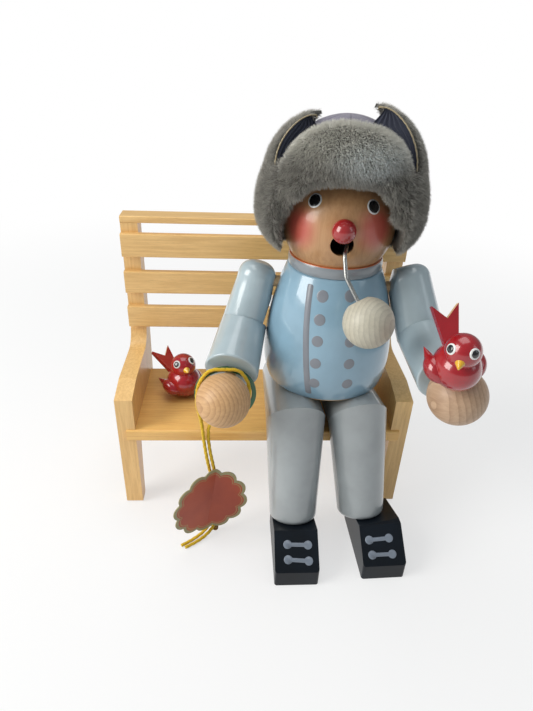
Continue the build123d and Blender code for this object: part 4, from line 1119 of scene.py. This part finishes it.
def bird(name):
    """A bird's painted eyes, and its tail with bare sawn ends."""
    body, spot, turns, head_turn = BIRDS[name]
    if name == "seat_bird":
        place = BENCH @ Matrix.Translation(spot)
    else:
        low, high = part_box("hand_left")
        place = Matrix.Translation((low + high) * 500 + Vector(spot))
    lean = (Matrix.Rotation(radians(turns[0]), 4, "Z") @ Matrix.Rotation(radians(turns[1]), 4, "X")
            @ Matrix.Rotation(radians(turns[2]), 4, "Y"))
    place = place @ lean
    eyes = []
    for side in (-1, 1):
        azimuth = radians(head_turn + side * BIRD_EYE_TURN)
        way = round_axis(cos(BIRD_EYE_RISE), azimuth, sin(BIRD_EYE_RISE))
        eyes.append(on_ball(BIRD_HEAD, BIRD_HEAD_RADIUS, BIRD_HEAD + way))
    painted_eyes(f"{name}_eye", eyes, (2.6, 1.85), (0.35, 0.62), place, body, "bird_lacquer", 0.1)
    node = f"{name}_tail"
    mesh = merged_copy(node)
    along = (place.to_3x3() @ Matrix.Rotation(TAIL_TILT, 3, "X")) @ Vector((0, 1, 0))
    tail = piece_of(f"{node}_sawn", mesh, [paint["bird lacquer"], dowel_wood])
    for face in mesh.polygons:
        face.material_index = 1 if face.normal.dot(along) > 0.3 else 0
        face.use_smooth = False
    dressed(tail, body, "bird_lacquer", node)


bird("seat_bird")
bird("hand_bird")


# ---------------------------------------------------------------- tag

CORD_ROUTES = {
    "a": [(-22.3, -16.1, 109.4), (-30.6, -16.1, 109.4), (-36.4, -16.1, 101.0),
          (-37.9, -16.1, 88.5), (-35.2, -16.6, 76.0), (-34.2, -18.9, 65.0),
          (-32.6, -21.2, 54.0), (-30.6, -22.4, 44.0), (-30.2, -22.8, 31.0),
          (-31.0, -23.0, 17.0), (-32.0, -23.2, 4.5), (-36.0, -26.6, 1.6),
          (-41.5, -31.3, 1.15), (-47.6, -35.4, 1.1)],
    "b": [(-22.3, -16.1, 109.4), (-15.2, -16.1, 109.4), (-10.2, -16.1, 101.5),
          (-9.8, -16.1, 92.0), (-15.0, -16.8, 83.8), (-24.5, -17.2, 79.8),
          (-31.4, -16.0, 75.0), (-32.0, -17.0, 67.0), (-31.0, -19.6, 58.5),
          (-28.4, -22.0, 45.5), (-27.8, -22.5, 31.0), (-28.5, -23.2, 17.0),
          (-29.3, -24.6, 4.8), (-34.2, -29.0, 1.6), (-39.5, -33.2, 1.15),
          (-45.3, -36.8, 1.1)],
}
CORNER_SHARE, ARC_STEP, RUN_STEP = 0.45, 0.5, 0.6
CORD_RADIUS, CORD_TWIST = 1.0, 3.6
KNOT_MIDDLE, KNOT_RADIUS, KNOT_POINTS = Vector((-29.0, -24.1, 3.5)), 0.72, 120


def cord_path(route):
    """A strand's middle line: straight runs joined by arcs, in points about 0.5 mm apart."""
    corners = [Vector(point) for point in route]
    keys = [corners[0]]
    for before, corner, after in zip(corners, corners[1:], corners[2:]):
        arriving, leaving = corner - before, after - corner
        angle = arriving.angle(leaving)
        cut = CORNER_SHARE * min(arriving.length, leaving.length)
        radius = cut / tan(angle / 2)
        way = arriving.normalized()
        aside = (leaving - way * leaving.dot(way)).normalized()
        start = corner - way * cut
        steps = max(3, int(angle * radius / ARC_STEP))
        for step in range(steps + 1):
            turn = angle * step / steps
            keys.append(start + way * (radius * sin(turn)) + aside * (radius * (1 - cos(turn))))
    keys.append(corners[-1])
    path = [keys[0]]
    for key in keys[1:]:
        last = path[-1]
        gap = (key - last).length
        if gap >= 0.05:
            steps = max(1, round(gap / RUN_STEP))
            path.extend(last.lerp(key, step / steps) for step in range(1, steps + 1))
    return path


def tag():
    """The doubled cord with its knot."""
    loop = []
    for step in range(KNOT_POINTS):
        turn = 2 * pi * step / KNOT_POINTS
        reach = 1.15 + 0.42 * cos(3 * turn)
        loop.append(BENCH @ (KNOT_MIDDLE + Vector((
            reach * cos(2 * turn), 0.75 * sin(3 * turn), reach * sin(2 * turn)))))
    knot = tube("cord_knot", loop, KNOT_RADIUS, fabric["shaded knot yarn"], 10, closed=True)
    dressed(knot, "tag", "tag_cord", "tag_knot")
    for name, route in CORD_ROUTES.items():
        path = [BENCH @ point for point in cord_path(route)]
        strand = tube(f"cord_{name}", path, CORD_RADIUS, fabric["cord yarn"], 16, 3, 0.09,
                      CORD_TWIST)
        length = sum((b - a).length for a, b in zip(path, path[1:]))
        metres = [METRES @ point for point in path]
        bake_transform(strand, "right_arm", "tag", Vector((0, 0, 0.088)), Vector((0, 0, 0.066)))
        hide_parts(f"tag_cord_{name}")
        tuple(metres[0])
        [tuple(point) for point in metres]
        print("cord", name, round(length, 1))


SCALLOPS, SCALLOP_SPOT, SCALLOP_RADIUS = 12, 16.8, 6.0
CARD_RED, CARD_RED_DARK, CARD_GOLD, CARD_GOLD_DARK, CARD_LINE = (
    (194, 84, 44), (150, 50, 28), (176, 164, 116), (128, 120, 84), (170, 140, 84))
CARD_MIDDLE, CARD_THICKNESS, FOLD_ASIDE = (-32.5, -25.5, 27.9), 0.0006, 2.1
CARD_SWAY, CARD_TILT, NARROW_FOLD, WIDE_FOLD = 8.5, -2.3, 36.7, 5.6


def scallop_reach(turn):
    """How far the card's scalloped edge is from its middle, in a direction."""
    best = 0.0
    for k in range(SCALLOPS):
        aside = turn - 2 * pi * k / SCALLOPS
        across = SCALLOP_SPOT * sin(aside)
        if abs(across) <= SCALLOP_RADIUS:
            out = sqrt(SCALLOP_RADIUS ** 2 - across ** 2)
            best = max(best, SCALLOP_SPOT * cos(aside) + out)
    return best


def card_material():
    """Red card with an olive gold border; what is printed on it is left off."""
    material, n, shader = new_material("tag card", 0.5, 0.15, 0.3)
    place = n.object_place()
    wander = n.sum("MULTIPLY_ADD", n.noise(place, 700.0, 2.0), 0.3, -0.15)
    edge = n.sum("ADD", n.attribute("inset"), wander)
    mottle = n.group(MOTTLE, {"Place": place}).outputs
    red = n.mix(mottle["Slow"], linear(*CARD_RED), linear(*CARD_RED_DARK))
    gold = n.mix(mottle["Fine"], linear(*CARD_GOLD), linear(*CARD_GOLD_DARK))
    line = n.sum("MULTIPLY", n.between(edge, 2.5, 2.6), n.between(edge, 3.15, 3.05))
    colour = n.mix(n.between(edge, 1.95, 1.75), red, gold)
    colour = n.mix(n.sum("MULTIPLY", line, 0.75), colour, linear(*CARD_LINE))
    colour_in(n, shader, colour, n.bump(mottle["Fine"], 0.2, 0.00004))
    return material


def card():
    """The bare card with its scalloped border, folded about an upright line."""
    around, rings = 240, 22
    work = bmesh.new()
    inset_of = work.verts.layers.float.new("inset")
    rows = []
    for ring in range(rings + 1):
        share = 1 - (ring / rings) ** 1.3
        row = []
        for k in range(around):
            turn = 2 * pi * (k + 0.5) / around
            edge = scallop_reach(turn)
            reach = max(edge * share, 0.3)
            vertex = work.verts.new((reach * sin(turn) - FOLD_ASIDE, 0, reach * cos(turn)))
            vertex[inset_of] = (edge - reach) * 0.94
            row.append(vertex)
        rows.append(row)
    for outer, inner in zip(rows, rows[1:]):
        for k in range(around):
            work.faces.new((outer[k], outer[(k + 1) % around], inner[(k + 1) % around], inner[k]))
    work.faces.new(rows[-1])
    bmesh.ops.bisect_plane(work, geom=work.verts[:] + work.edges[:] + work.faces[:],
                           plane_co=(0, 0, 0), plane_no=(1, 0, 0))
    for vertex in work.verts:
        across, _, up = vertex.co
        turn = radians(NARROW_FOLD if across < 0 else WIDE_FOLD)
        bow = 0.0007 * up * up * (1 if across > 0 else 0.4)
        vertex.co = Vector((across * cos(turn), across * sin(turn) + bow * abs(across) * 0.2, up))
    mesh = bpy.data.meshes.new("card")
    work.to_mesh(mesh)
    work.free()
    place = (BENCH @ Matrix.Translation(CARD_MIDDLE)
             @ Matrix.Rotation(radians(CARD_SWAY), 4, "Y")
             @ Matrix.Rotation(radians(CARD_TILT), 4, "X")
             @ Matrix.Translation((FOLD_ASIDE, 0, 0)))
    mesh.transform(METRES @ place)
    flat = linked("card_flat", mesh)
    solid = flat.modifiers.new("card thickness", "SOLIDIFY")
    solid.thickness, solid.offset = CARD_THICKNESS, 0.0
    piece = applied(flat, "card_scalloped", [card_material()], smooth=False)
    dressed(piece, "tag", "tag_card", "tag_card")


tag()
card()


# ---------------------------------------------------------------- floor, light and camera

FLOOR_REACH, FLOOR_BELOW, PALE, WHITE = 6.0, 0.0001, (0.9, 0.9, 0.9, 1), (1, 1, 1, 1)
ROOM_COLOUR, ROOM_STRENGTH = (0.9, 0.96, 1.0, 1), 0.28
# Lamps: name, place, width, height, watts and colour. All of them aim at one spot.
LAMP_AIM = (0.02, 0.0, 0.1)
LAMPS = (("left window", (-0.8, -0.27, 0.55), 0.5, 0.7, 8.2, (1.0, 0.99, 0.96)),
         ("right window", (0.8, -0.4, 0.6), 0.3, 0.5, 0.6, (0.86, 0.94, 1.0)),
         ("ceiling", (0.0, 0.1, 1.0), 0.7, 0.7, 3.2, (1.0, 1.0, 1.0)))
# The photograph's camera in the bench's frame, and its lens in photograph pixels.
PHOTO_RIGHT = Vector((0.9984570632428498, -0.04235081788042209, 0.03591519495956837))
PHOTO_DOWN = Vector((0.00911751794801859, -0.5129691852983265, -0.858358599771004))
PHOTO_AWAY = Vector((0.05477557600729788, 0.8573616641530167, -0.5117915719449063))
PHOTO_PLACE = Vector((-16.460285166998766, -245.81957405555644, 255.13281255626154))
PHOTO_HEIGHT, LENS_REACH, SENSOR = 711, 534, 36


def seen_by(n, *rays):
    """1 where one of these kinds of ray looks at a surface, and 0 elsewhere."""
    path = n.add("ShaderNodeLightPath").outputs
    seen = path[rays[0]]
    for ray in rays[1:]:
        seen = n.sum("MAXIMUM", seen, path[ray])
    return seen


def floor():
    """A plain pale floor that keeps the object's shadow."""
    mesh = bpy.data.meshes.new("floor")
    corners = [(x * FLOOR_REACH, y * FLOOR_REACH, 0)
               for x, y in ((-1, -1), (1, -1), (1, 1), (-1, 1))]
    mesh.from_pydata(corners, [], [(0, 1, 2, 3)])
    material, n, shader = new_material("floor", 0.9)
    shader.inputs["Base Color"].default_value = PALE
    shader.inputs["Specular IOR Level"].default_value = 0.0
    white = n.add("ShaderNodeEmission", {"Color": WHITE, "Strength": 1.0})
    seen = seen_by(n, "Is Camera Ray", "Is Glossy Ray", "Is Transmission Ray")
    away = n.vector("LENGTH", n.object_place())
    share = n.sum("MULTIPLY", seen, n.sum("MULTIPLY_ADD", n.between(away, 0.15, 0.7), 0.4, 0.6))
    mixed = n.add("ShaderNodeMixShader", {0: share, 1: shader.outputs[0], 2: white.outputs[0]})
    output = material.node_tree.nodes["Material Output"]
    n.tree.links.new(mixed.outputs[0], output.inputs["Surface"])
    mesh.materials.append(material)
    plane = linked("floor", mesh)
    plane.location.z = -FLOOR_BELOW


def surroundings():
    """Even pale light all round; white where it is seen directly."""
    world = bpy.data.worlds.new("room")
    bpy.context.scene.world = world
    world.use_nodes = True
    world.node_tree.nodes.clear()
    n = Nodes(world.node_tree)
    soft = n.add("ShaderNodeBackground", {"Color": ROOM_COLOUR, "Strength": ROOM_STRENGTH})
    white = n.add("ShaderNodeBackground", {"Color": WHITE, "Strength": 1.0})
    seen = seen_by(n, "Is Camera Ray", "Is Transmission Ray")
    mixed = n.add("ShaderNodeMixShader", {0: seen, 1: soft.outputs[0], 2: white.outputs[0]})
    n.add("ShaderNodeOutputWorld", {"Surface": mixed.outputs[0]})


def lamp(name, place, width, height, watts, colour):
    """A soft rectangular lamp."""
    light = bpy.data.lights.new(name, "AREA")
    light.shape = "RECTANGLE"
    light.size, light.size_y = width, height
    light.energy, light.color = watts, colour
    stand = linked(name, light)
    stand.location = place
    way = Vector(LAMP_AIM) - Vector(place)
    stand.rotation_euler = way.to_track_quat("-Z", "Y").to_euler()


def camera():
    """The camera at the photograph's angle."""
    lens = bpy.data.cameras.new("photo view")
    lens.sensor_width = SENSOR
    lens.lens = SENSOR * LENS_REACH / PHOTO_HEIGHT
    lens.clip_start = 0.01
    turn = Matrix((PHOTO_RIGHT, -PHOTO_DOWN, -PHOTO_AWAY)).transposed().to_4x4()
    viewer = linked("photo view", lens)
    viewer.matrix_world = Matrix.Translation(METRES @ BENCH @ PHOTO_PLACE) @ turn
    bpy.context.scene.camera = viewer


floor()
surroundings()
for settings in LAMPS:
    lamp(*settings)
camera()
bpy.context.scene.view_settings.view_transform = "Standard"
